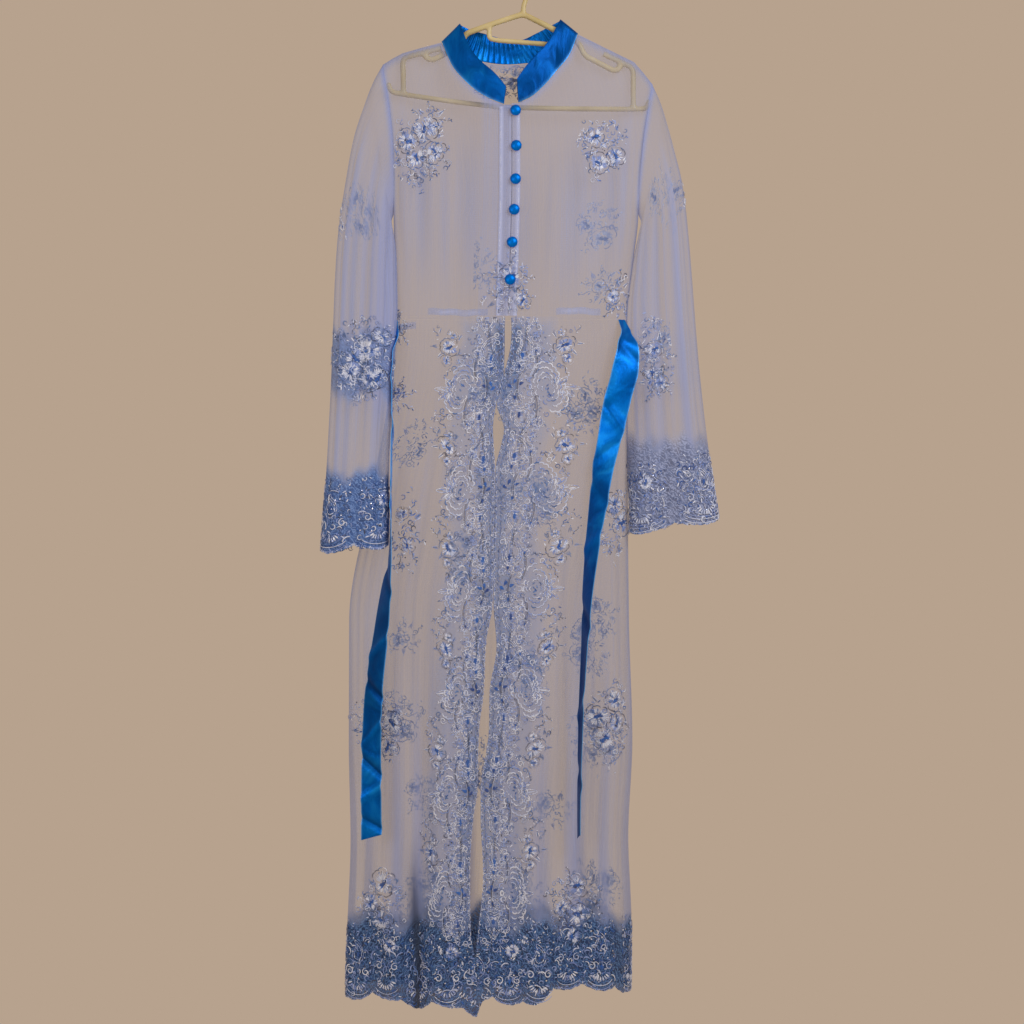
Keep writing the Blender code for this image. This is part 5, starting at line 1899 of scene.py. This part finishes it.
# A spray of blooms and leaves in an uneven oval, seeds and curls between them
def sprayMotif(wide, tall):
    motif = []
    lean = dice.uniform(0, 2 * np.pi)

    def rim(angle):
        return 0.5 + 0.07 * math.sin(3 * angle + lean) + 0.05 * math.sin(5 * angle - 2 * lean)

    for k in range(int(wide * tall * 0.78 / 42)):
        angle = dice.uniform(0, 2 * np.pi)
        reach = dice.random() ** 0.6 * rim(angle)
        addStroke(motif, sprayMixture, reach * wide * math.cos(angle), reach * tall * math.sin(angle),
                  dice.uniform(4.5, 7.5))
    blooms = []
    wanted = max(1, round(wide * tall / 2600))
    for attempt in range(90):
        angle = dice.uniform(0, 2 * np.pi)
        reach = math.sqrt(dice.random()) * 0.34
        x, y = reach * wide * math.cos(angle), reach * tall * math.sin(angle)
        radius = dice.uniform(14.0, 19.5) * (1.0 if min(wide, tall) > 50 else 0.74)
        if len(blooms) < wanted and all(math.hypot(x - a, y - b) > 0.8 * (radius + r) for a, b, r in blooms):
            blooms.append((x, y, radius))
    for x, y, radius in blooms:
        addBloom(motif, x, y, radius, int(dice.integers(5, 8)))
    for k in range(9):
        turn = 40 * k + dice.uniform(-14, 14)
        share = dice.uniform(0.22, 0.34)
        right, up = wide * math.cos(math.radians(turn)), tall * math.sin(math.radians(turn))
        x, y = share * right, share * up
        lean = math.degrees(math.atan2(up, right)) + dice.uniform(-30, 30)
        if k % 2:
            addLeaf(motif, x, y, lean, dice.uniform(10, 15))
        else:
            addSprig(motif, x, y, lean, dice.uniform(14, 20))
    return motif


curlMixture = {
    ("periwinkle", "curl"): 5, ("steel", "curl"): 2.6, ("silver", "curl"): 4.4, ("steel", "leaf"): 2,
    ("periwinkle", "leaf"): 4, ("silver", "leaf"): 4, ("dark", "leaf"): 0.6, ("periwinkle", "hook"): 2,
    ("silver", "hook"): 2.0, ("dark", "curl"): 0.9, ("silver", "dot"): 2.5, ("dark", "dot"): 1.2,
    ("steel", "arch"): 1.2, ("deep", "leaf"): 1.0, ("silver", "arch"): 1.6,
}


# Loose fill between drawn motifs: strokes and curls on a jittered lattice
def addFill(motif, low, high, spacing, mixture, long=(4.5, 7.5), keep=1.0):
    for x in np.arange(low[0], high[0], spacing):
        for y in np.arange(low[1], high[1], spacing):
            if dice.random() < keep:
                jitterX, jitterY = dice.uniform(-0.45, 0.45, 2) * spacing
                addStroke(motif, mixture, x + jitterX, y + jitterY, dice.uniform(*long))


medallion = {
    "rings": ((33, 19, 7.6), (26, 14.2, 6.8), (19, 9.8, 6.0), (12, 5.6, 5.0)),  # half tall, half wide, step
    "gaps": (0.05, 0.5),  # chance of a gap on the side near the slit and beyond
    "leaves": ((-74, 14), (-40, 19), (0, 27), (40, 19), (74, 14)),  # turn, long
    "hooks": (("silver", 6, 40, 60, 10), ("steel", 18, 31, 20, 9), ("periwinkle", -7, 40, 130, 9)),
}


# Broken rings of small scallops round a seed, with a cluster of slender leaves that points outward
def addMedallion(motif, x, y):
    lean = dice.uniform(-0.22, 0.22)
    for ring, (tall, wide, size) in enumerate(medallion["rings"]):
        tall *= dice.uniform(0.9, 1.06)
        count = int(2 * math.pi * math.sqrt((tall**2 + wide**2) / 2) / size)
        for k in range(count):
            angle = 2 * math.pi * k / count
            near, beyond = medallion["gaps"]
            if dice.random() < (near if math.cos(angle) > -0.4 else beyond):
                continue
            away = math.degrees(math.atan2(math.sin(angle) / tall, math.cos(angle) / wide))
            high = tall * math.sin(angle)
            placeX = x + wide * math.cos(angle) + lean * high
            thread = pick({"silver": 7, "periwinkle": 2, "steel": 1})
            stitch(motif, thread, "scallop", placeX, y + high, away - 90, size * 1.12, size * 1.1)
            if ring < 3 and k % 2:
                seed = pick({"silver": 1, "steel": 1})
                stitch(motif, seed, "dot", placeX - 3 * math.cos(angle), y + 0.9 * high, 0, 1.7)
    for k in range(9):
        place = x + dice.uniform(-3, 3), y + dice.uniform(-15, 15)
        stitch(motif, pick({"deep": 1, "steel": 2}), "leaf", *place, dice.uniform(0, 180), 5, 2)
    for turn, long in medallion["leaves"]:
        middle = polar(x + 12, y, 4 + long / 2, turn)
        turn += dice.uniform(-7, 7)
        addOutline(motif, {"silver": 5, "periwinkle": 2}, "pointed", *middle, turn, long, 8.5)
        for share in (-0.16, 0.12):
            vein = polar(*middle, share * long, turn + dice.uniform(-20, 20))
            stitch(motif, pick(paleMix), "leaf", *vein, turn, long * 0.42, 2.2)
    for up in (-1, 1):
        for thread, aside, high, turn, long in medallion["hooks"]:
            stitch(motif, thread, "hook", x + aside, y + high * up, turn * up, long)


def addWheel(motif, x, y, radius):
    addOutline(motif, paleMix, "oval", x, y, 0, 2.0 * radius, 2.0 * radius, 2.8)
    for k in range(9):
        stitch(motif, pick(greyMix), "curl", *polar(x, y, radius * 1.18, 40 * k), 40 * k + 180, radius * 0.56)
    for k in range(11):
        thread = "silver" if k % 2 else "periwinkle"
        stitch(motif, thread, "leaf", *polar(x, y, radius * 0.66, 33 * k), 33 * k, radius * 0.5, 1.3)
    stitch(motif, "deep", "petal", x, y, 90, radius * 0.8, radius * 0.55)


groundMixture = {
    ("steel", "leaf"): 3.6, ("periwinkle", "leaf"): 6, ("silver", "leaf"): 4, ("periwinkle", "arch"): 3,
    ("steel", "curl"): 1.2, ("silver", "arch"): 3, ("dark", "leaf"): 1.4, ("deep", "leaf"): 0.8,
    ("silver", "dot"): 1.6, ("dark", "dot"): 1.0,
}


# What one repeat of the border holds: x is the distance from the slit edge, y runs up from the medallion
borderDrawing = {
    "fills": (  # from x, to x, spacing, mixture, shortest and longest stroke, share that is kept
        (2, 34, 4.6, groundMixture, (3.4, 5.8), 0.7),
        (34, 52, 6.0, curlMixture, (4.0, 6.5), 0.6),
        (52, 94, 7.6, sprayMixture, (4.0, 6.0), 0.36),
    ),
    "halfTall": 75,
    "cords": ((0, "dark"), (1.8, "silver"), (-1.8, "steel")),
    "drops": (("paisley", 56, 90, 44), ("tulip", -48, -90, 40)),  # outline, y, turn, wide
    "hearts": ((21, 44, 90, 14, 6), (22, -40, -90, 12, 5)),
    "wheels": ((20, 30, 8.2), (20, -16, 8.2), (40, 52, 6.4), (40, -52, 6.4)),
    "petals": ((17, 8, 70), (26, 5, 200), (12, 1, 140)),
    "hooks": ((34, 70, 120), (33, 28, 60), (10, 68, 40), (11, 24, 150), (33, 44, 20)),
    "blooms": ((80, 62, 15, 7, "deep"), (90, 42, 9, 6, "deep"), (70, 80, 8, 5, "steel")),
    "sprigs": ((70, 52, 190, 16), (88, 78, 60, 15), (84, 32, -60, 16), (60, -40, 10, 20), (72, -58, 50, 18),
               (66, 44, 150, 14), (82, -36, -30, 14)),
    "leaves": ((96, 64, 0), (72, 46, 250), (94, 54, -40), (58, -66, -60), (86, -66, 100)),
    "leafLong": 11,
}


def borderMotif():
    drawing = borderDrawing
    tall = drawing["halfTall"]
    motif = []
    for start, end, spacing, mixture, long, keep in drawing["fills"]:
        addFill(motif, (start, -tall), (end, tall), spacing, mixture, long, keep)
    motif = [s for s in motif if math.hypot((s[2] - 62) / 18, s[3] / 32) > dice.uniform(0.6, 1.1)]
    for k in range(5):
        side = 1 if k % 2 else -1
        for away, thread in drawing["cords"]:
            stitch(motif, thread, "cord", 33 + 4 * side + away, -66 + 33 * k, -90 * side, 40, 15)
    motif = [s for s in motif if math.hypot((s[2] - 22) / 15, (abs(s[3]) - 53) / 18) > 1 or s[0] != "silver"]
    for k in range(25):
        for x, y, thread in ((4.6, -73, "silver"), (9.4, -70, "steel")):
            stitch(motif, thread if k % 2 else "periwinkle", "arch", x, y + 6 * k, 90, 6.4, 6)
    pale = {"silver": 5, "periwinkle": 2, "steel": 1}
    for size in (1.0, 0.82, 0.62):
        for outline, y, turn, wide in drawing["drops"]:
            addOutline(motif, pale, outline, 23, y, turn, 46 * size, wide * size)
    for k in range(14):
        long = 13 - 0.8 * k
        stitch(motif, pick({"periwinkle": 2, "silver": 1}), "leaf", 22, 38 + 2.2 * k, 14, long, 1.6)
        stitch(motif, pick({"silver": 1, "periwinkle": 2}), "leaf", 23, -34 - 2.0 * k, -10, long, 1.6)
    for heart in drawing["hearts"]:
        stitch(motif, "deep", "petal", *heart)
    for wheel in drawing["wheels"]:
        addWheel(motif, *wheel)
    for petal in drawing["petals"]:
        stitch(motif, "deep", "petal", *petal, 8.5, 5)
    for up in (-1, 1):
        for x, y, turn in drawing["hooks"]:
            stitch(motif, pick(paleMix), "hook", x, y * up, turn * up, 10)
    for k in range(15):
        y = -70 + 10 * k
        stitch(motif, "silver" if k % 2 else "periwinkle", "curl", 37, y, 180 if k % 2 else 0, 7.5)
        stitch(motif, "silver" if k % 3 else "dark", "dot", 41, y - 3, 0, 2.0)
    addMedallion(motif, border["medallionFrom"], 0)
    for place in drawing["blooms"]:
        addBloom(motif, *place)
    for place in drawing["sprigs"]:
        addSprig(motif, *place)
    for place in drawing["leaves"]:
        addLeaf(motif, *place, drawing["leafLong"])
    return motif


# The lace of one scallop: y runs up from its lowest point
scallopDrawing = {
    "cords": ((0.5, "periwinkle", 0.9), (6, "silver", 0.84), (9.5, "steel", 0.7), (13, "periwinkle", 0.5)),
    "curls": 19,
    "sequins": 12,
}


def scallopMotif(wide, tall, number):
    motif = []
    addFill(motif, (-wide / 2, 3), (wide / 2, tall - 16), 6.2, hemMixture, (4.5, 8.0), 0.9)
    addFill(motif, (-wide / 2, tall - 16), (wide / 2, tall + 6), 8.0, hemMixture, (4.0, 6.5), 0.6)
    for lift, thread, share in scallopDrawing["cords"]:
        stitch(motif, thread, "cord", 0, lift + 17 * share, 180, wide * share, 33 * share)
    for turn in range(-158, -21, 17):
        stitch(motif, pick(paleMix), "leaf", *polar(0, 27, 13, turn), turn, 8, 2.6)
    for k in range(scallopDrawing["curls"]):
        place = dice.uniform(-0.48, 0.48) * wide, 12 + (tall * 0.7) * dice.random() ** 1.4
        thread = pick({"silver": 3, "periwinkle": 2})
        turn, long = dice.uniform(-100, 100), dice.uniform(5, 14)
        stitch(motif, thread, "crescent", *place, turn, long, dice.uniform(4, 11))
    for side in (-1, 1):
        turn = dice.uniform(-25, 25)
        aside = side * wide
        high = 33 + 6 * (number % 3)
        stitch(motif, "silver", "hook", aside * 0.3, high, 90 + 70 * side + turn, 12, 12 * side)
        stitch(motif, "steel", "hook", aside * 0.16, 50, 40 * side + turn, 12)
        stitch(motif, "periwinkle", "cord", aside * 0.26, 44, 60 * side + turn, 26, 16)
        stitch(motif, "steel", "cord", aside * 0.3, 60, -50 * side - turn, 24, 14)
    if number % 3 == 0:
        addOutline(motif, {"silver": 1, "periwinkle": 2}, "oval", 2, 31, 90, 17, 14, 2.6)
        stitch(motif, "deep", "petal", 2, 31, 90, 9, 6)
    if number % 2 == 0:
        addBloom(motif, wide * 0.12, tall * 0.7, 14, 7)
        addSprig(motif, wide * 0.1, tall * 0.84, dice.uniform(70, 110), 17)
        addLeaf(motif, -wide * 0.2, tall * 0.7, 120, 13, "silver")
    else:
        for size in (1.0, 0.7):
            addOutline(motif, evenMix, "paisley", 0, tall * 0.62, 80, 32 * size, 30 * size)
        stitch(motif, "deep", "petal", 0, tall * 0.58, 80, 9, 5)
        addSprig(motif, -4, tall * 0.84, dice.uniform(80, 130), 17)
        addSprig(motif, 9, tall * 0.8, dice.uniform(40, 80), 13)
    for k in range(scallopDrawing["sequins"]):
        stitch(motif, "sequin", "dot", dice.uniform(-0.48, 0.48) * wide, dice.uniform(8, tall), 0, 2.4)
    return motif


hemMixture = {
    ("steel", "leaf"): 6, ("periwinkle", "leaf"): 2.4, ("deep", "leaf"): 4, ("silver", "leaf"): 1.8,
    ("dark", "leaf"): 2.6, ("steel", "curl"): 3.4, ("periwinkle", "curl"): 2.4, ("silver", "curl"): 1.2,
    ("deep", "curl"): 2.4, ("silver", "dot"): 2.6, ("steel", "hook"): 2, ("periwinkle", "arch"): 1.2,
    ("silver", "arch"): 0.7,
}


# Sprays seen on the coat: across, down, face, wide, tall
sprays = {
    "levelReach": 15.0,
    "leastRun": 0.5,
    "neckDown": 200.0,  # above this the back shows through the open neck
    "body": (
        (-152, 280, -1, 86, 112), (-138, 232, -1, 44, 50), (117, 268, -1, 78, 92), (112, 378, 1, 66, 72),
        (-44, 160, 1, 62, 58), (-4, 162, 1, 60, 56),
        (140, 492, -1, 34, 66), (118, 470, 1, 50, 50), (-184, 536, -1, 34, 56),
        (-167, 708, 1, 50, 76), (-172, 841, -1, 44, 128), (132, 826, -1, 52, 106), (-175, 996, 1, 40, 44),
        (-212, 1122, -1, 92, 104), (124, 1118, -1, 80, 124), (-204, 1378, -1, 76, 92), (74, 1372, -1, 88, 84),
        (47, 1255, 1, 60, 60), (-152, 1233, 1, 50, 60), (116, 960, 1, 44, 54), (-186, 640, -1, 36, 50),
        (-70, 440, 1, 64, 74), (100, 650, 1, 76, 90),
        (-50, 620, 1, 80, 92), (20, 790, 1, 84, 96), (-90, 880, 1, 84, 96), (100, 1010, 1, 70, 84),
        (0, 1040, 1, 84, 96), (-190, 1120, 1, 80, 92), (110, 1150, 1, 84, 96), (-60, 1190, 1, 84, 100),
        (-150, 1380, 1, 80, 84), (110, 1370, 1, 84, 84), (0, 1380, 1, 76, 80),
    ),
    "placket": ((-18, 462, 62, 60), (-22, 496, 70, 36)),
    "sleeves": {
        -1: ((-236, 365, 1, 84, 80), (-252, 570, -1, 66, 96), (-216, 580, -1, 66, 116),
             (-236, 610, -1, 60, 80), (-236, 590, 1, 92, 110)),
        1: ((209, 342, 1, 62, 84), (194, 574, -1, 46, 124), (198, 560, 1, 60, 90), (194, 618, -1, 38, 48)),
    },
}


# Angles round the body of flat places, row by row of its map
def aroundOf(u, down):
    rows = bodyRow(down)
    around = np.zeros(len(u))
    for row in np.unique(rows):
        chosen = rows == row
        around[chosen] = np.interp(u[chosen], bodyMap["u"][row], bodyMap["arounds"])
    return around


def hemEdge(around, margin):
    across = acrossAt(around, hem["placeDown"])
    face = np.cos(np.radians(around)) >= 0
    return np.where(face, hemDown(across, -1), hemDown(across, 1)) - margin


# Where the collar is sewn on, as a depth for each place across a face
def neckDown(across, face):
    seams = [neckEdge(key, np.linspace(0, 1, 60)) for key in ((-1, 1) if face < 0 else ("back",))]
    points = np.concatenate(seams)
    points = points[np.argsort(points[:, 0])]
    return np.interp(across, points[:, 0], points[:, 1], left=0.0, right=0.0)


# Drops the stitches that would lie beyond the cloth's edges
def onCloth(data):
    u, v, long = data[:, 0], data[:, 1], np.minimum(np.abs(data[:, 3]), 12)
    onBody = u < clothReach
    around = aroundOf(u, -v)
    across = acrossAt(around, -v)
    keep = -v < hemEdge(around, 0.3 * long)
    left, right = lookUp(slit, "left", -v), lookUp(slit, "right", -v)
    faceFront = np.cos(np.radians(around)) > 0
    inFront = faceFront & (-v > coat["waistDown"])
    inSlit = (across > left - 0.4 * long) & (across < right + 0.4 * long)
    # No stitches in the middle of the painted fold shadow, so that its dark shows
    keep &= ~(inFront & inSlit) & ~(inFront & (darkFold(across, -v) > 0.66))
    neck = np.where(faceFront, neckDown(across, -1), neckDown(across, 1))
    keep &= -v > neck + 0.4 * long
    return data[keep | ~onBody]


# Paler threads where light is painted in: on the far side against the net's shade, and on the right cuff,
# which is painted as more brightly lit
paler = {"dark": "steel", "steel": "periwinkle", "periwinkle": "silver"}


def lighter(motif):
    return [(paler.get(thread, thread), *rest) for thread, *rest in motif]


# Slides and stretches a motif so that it hangs level and broad where a sleeve's rings lean
def level(surface, motif, u, v):
    reach = sprays["levelReach"]
    besides = np.array([-reach, reach, 0, 0]), np.array([0, 0, -reach, reach])
    left, right, lower, upper = layOn(surface, u + besides[0], v + besides[1], np.zeros(4))[0] / (2 * reach)
    run = max(abs(right[0] - left[0]), sprays["leastRun"])
    slope, rise = right[2] - left[2], upper[2] - lower[2]
    return [(thread, shape, x / run, (y - slope * x / run) / rise, *rest)
            for thread, shape, x, y, *rest in motif]


def sewSprays():
    for across, down, face, wide, tall in sprays["body"]:
        motif = sprayMotif(wide, tall)
        # Sprays on the back, seen through the front net, get paler threads: painted light against the net's
        # shade
        behindNet = face > 0 and down > sprays["neckDown"]
        stamp(bodyMap, lighter(motif) if behindNet else motif, *bodyFlat(across, down, face))
    for across, down, wide, tall in sprays["placket"]:
        motif = [s for s in sprayMotif(wide, tall) if down - s[3] < coat["waistDown"] - 3]
        stamp(placketMap, motif, *bodyFlat(across, down, -1))
    for side in sides:
        for across, down, face, wide, tall in sprays["sleeves"][side]:
            flat = sleeveFlat(side, across, down, face)
            motif = level(sleeveMaps[side], sprayMotif(wide, tall), *flat)
            # Sprays on a sleeve's back get threads paler still: painted light against the shade of the net in
            # front
            stamp(sleeveMaps[side], lighter(lighter(motif)) if face > 0 else motif, *flat)


# Each stitch of the border is set down alone, because the border's width changes on its way down
def sewBorder():
    for side in sides:
        for number in range(-1, 7):
            middle = border["medallion"][2] + border["spacing"] * number - (4 if side > 0 else 0)
            for thread, shape, x, y, angle, long, wide in borderMotif():
                here = middle - y
                tooHigh = here < coat["waistDown"] + (2 if x < 36 else 20 + 6 * math.sin(x))
                if tooHigh or here > hem["laceTop"] + 24:
                    continue
                edge = float(lookUp(slit, sides[side], here))
                full = abs(float(borderLimit(here, side)) - edge)
                u, v = bodyFlat(edge, here, -1)
                mirrored = angle if side > 0 else 180 - angle
                place = u + side * x * full / border["drawnWide"]
                sewOne(bodyMap, thread, shape, place, v, mirrored, long, wide * side)


# Short stitches side by side along an edge, which bind it like a cord
def bindEdge(surface, places, mixture, long, wide):
    places = np.asarray(places, float)
    ahead = np.gradient(places, axis=0)
    turns = np.degrees(np.arctan2(ahead[:, 1], ahead[:, 0])) + 90
    for (u, v), turn in zip(places, turns):
        lean = turn + dice.uniform(-16, 16)
        size = long * dice.uniform(0.8, 1.15)
        sewOne(surface, pick(mixture), "leaf", u, v, lean, size, wide)


edging = {
    "step": 1.9,
    "hem": (3.6, 1.3),  # long, wide
    "cuff": (3.6, 1.4),
    "slit": (3.6, 1.4),
    # the dark stitches just outside the slit's binding: a painted shadow line
    "slitShadowLine": (1.9, 1.5),
    "slitStep": 2.3,
    "slitWave": (1.6, 0.7, 3.1),  # how far in, height and length of the wave
    "slitEnd": 1500,
    "inset": 1.3,
    "collar": (3.2, 1.5),
    "collarCount": 64,
    "collarBelow": 1.2,
    "placket": (3.2, 0.8),
    # across, thread, step
    "placketRows": ((0.6, "dark", 3.4), (-15.5, "silver", 3.8), (10.5, "silver", 3.8)),
}


def sewHem():
    ring = bodyMap["u"][int((hem["placeDown"] - bodyMap["top"]) / bodyMap["rowStep"])]
    half = (np.interp(180, bodyMap["arounds"], ring) - np.interp(-180, bodyMap["arounds"], ring)) / 2
    u = np.arange(-half, half, edging["step"])
    around = np.interp(u, ring, bodyMap["arounds"])
    edge = np.stack([u, -hemEdge(around, edging["inset"])], axis=-1)
    bindEdge(bodyMap, edge, edgeMix, *edging["hem"])
    left, right = (float(lookUp(coat, sides[side], edging["slitEnd"])) for side in sides)
    number = 0
    for face in (-1, 1):
        for k in range(-7, 5):
            across = (k + 0.5) * hem["scallopWide"]
            if left + 6 < across < right - 6:
                number += 1
                flat = bodyFlat(across, float(hemDown(across, face)) - 2, face)
                stamp(bodyMap, scallopMotif(hem["scallopWide"], hem["laceTall"], number), *flat)
        around = 90.0 * face
        flat = float(np.interp(around, bodyMap["arounds"], ring)), -float(hemEdge(np.array([around]), 3.0)[0])
        stamp(bodyMap, scallopMotif(hem["scallopWide"] + 8, hem["laceTall"], 3), *flat)
    inward, height, length = edging["slitWave"]
    for side in sides:
        places = []
        for down in np.arange(coat["waistDown"] + 2, edging["slitEnd"], edging["slitStep"]):
            u, v = bodyFlat(float(lookUp(slit, sides[side], down)), down, -1)
            places.append((u + side * (inward + height * math.sin(down / length)), v))
        bindEdge(bodyMap, places, {"silver": 3, "periwinkle": 3, "steel": 2, "dark": 1}, *edging["slit"])
        # A row of dark stitches just outside the binding: a painted shadow line in the slit's gap
        outer = np.array(places) - (side * 0.5, 0)
        bindEdge(bodyMap, outer, {"dark": 4, "steel": 1}, *edging["slitShadowLine"])


def sewCuffs():
    for side in sides:
        surface = sleeveMaps[side]
        bottom, ring, angles = surface["cuffDown"], surface["cuffU"], surface["angles"]
        fine = np.linspace(0, len(ring) - 1, 260)
        u, angle = (np.interp(fine, np.arange(len(ring)), values) for values in (ring, angles))
        inside = np.abs(angle - 90) < 180
        edge = bottom + cuffEdge(angle, u)
        places = np.stack([u, edging["inset"] - edge], axis=-1)[inside]
        bindEdge(surface, places, edgeMix, *edging["cuff"])
        wide = 1.04 / 4 * float(np.ptp(u[inside]))
        turn = -side  # the right sleeve's angles run down, and interp wants them to rise
        for number, middle in enumerate((-45, 45, 135, 225)):
            place = float(np.interp(turn * middle, turn * angles, ring))
            motif = scallopMotif(wide, 100, number)
            # Paler threads on the right cuff: painted light, as for its painted-lit net
            motif = lighter(motif) if side > 0 else motif
            stamp(surface, motif, place, -bottom - sleeve["scallopTall"] + 3)


# A pale line of stitches where the collar is sewn on
def sewCollarSeam():
    for key, face in ((-1, -1), (1, -1), ("back", 1)):
        seam = neckEdge(key, np.linspace(0.01, 0.99, edging["collarCount"]))
        below = edging["collarBelow"]
        places = [bodyFlat(float(across), float(down) + below, face) for across, down in seam]
        ahead = np.gradient(np.array(places), axis=0)
        for (u, v), (stepU, stepV) in zip(places, ahead):
            turn = math.degrees(math.atan2(stepV, stepU))
            sewOne(bodyMap, "silver", "bar", u, v, turn, *edging["collar"])


# The overlap's edge down the middle of the placket, and its two rows of stitching
def sewPlacket():
    for offset, thread, gap in edging["placketRows"]:
        for down in np.arange(placket["topDown"] + 4, coat["waistDown"] - 3, gap):
            flat = bodyFlat(float(lookUp(centreLine, "across", down)) + offset, down, -1)
            sewOne(placketMap, thread, "bar", *flat, 90 + dice.uniform(-5, 5), *edging["placket"])


def sewThreads():
    group = shapeCollection("stitch", list(shapes.values()))
    surfaces = ((bodyMap, 0.0), (sleeveMaps[-1], 0.0), (sleeveMaps[1], 0.0), (placketMap, placketMap["lift"]))
    for thread in threads:
        data = onCloth(np.array(sewn[thread]))
        u, v, turn, long, wide, kind = data.T
        places = np.stack([u, v, 0 * u], axis=-1)
        right = np.stack([np.cos(turn), np.sin(turn), 0 * turn], axis=-1)
        tall = np.clip(np.abs(wide) * 0.16, 0.25, 0.8)
        size = np.stack([long, wide, tall], axis=-1) * mm
        sewing = shapesOnPoints(
            f"embroidery_{thread}", trees["many"], group, places, (0, 0, 1), right, size, finishes[thread],
            kind)
        mesh = sewing.data
        flat = np.empty(len(mesh.vertices) * 3, np.float32)
        mesh.vertices.foreach_get("co", flat)
        flat = flat.reshape(-1, 3).astype(float) / mm
        laid = np.zeros_like(flat)
        outward = np.zeros_like(flat)
        for surface, extra in surfaces:
            chosen = np.abs(flat[:, 0] - surface["start"]) < clothReach
            u, v, high = flat[chosen].T
            lift = high + threadLift[thread] + extra
            laid[chosen], outward[chosen] = layOn(surface, u - surface["start"], v, lift)
        mesh.vertices.foreach_set("co", (laid * mm).astype(np.float32).ravel())
        mesh.update()
        faceOutward(mesh, outward)
        seat(sewing)
        print(thread, len(data), "stitches", sum(len(p.vertices) - 2 for p in mesh.polygons), "triangles")
    dropCollection(group)


def faceOutward(mesh, outward):
    first = np.empty(len(mesh.polygons), np.int32)
    mesh.polygons.foreach_get("loop_start", first)
    corners = np.empty(len(mesh.loops), np.int32)
    mesh.loops.foreach_get("vertex_index", corners)
    normals = np.empty(len(mesh.polygons) * 3, np.float32)
    mesh.polygons.foreach_get("normal", normals)
    inward = (normals.reshape(-1, 3) * outward[corners[first]]).sum(axis=1) < 0
    shape = bmesh.new()
    shape.from_mesh(mesh)
    shape.faces.ensure_lookup_table()
    bmesh.ops.reverse_faces(shape, faces=[shape.faces[int(k)] for k in np.nonzero(inward)[0]])
    shape.to_mesh(mesh)
    shape.free()


sewSprays()
sewBorder()
sewHem()
sewCuffs()
sewCollarSeam()
sewPlacket()
sewThreads()
print("embroidery made")
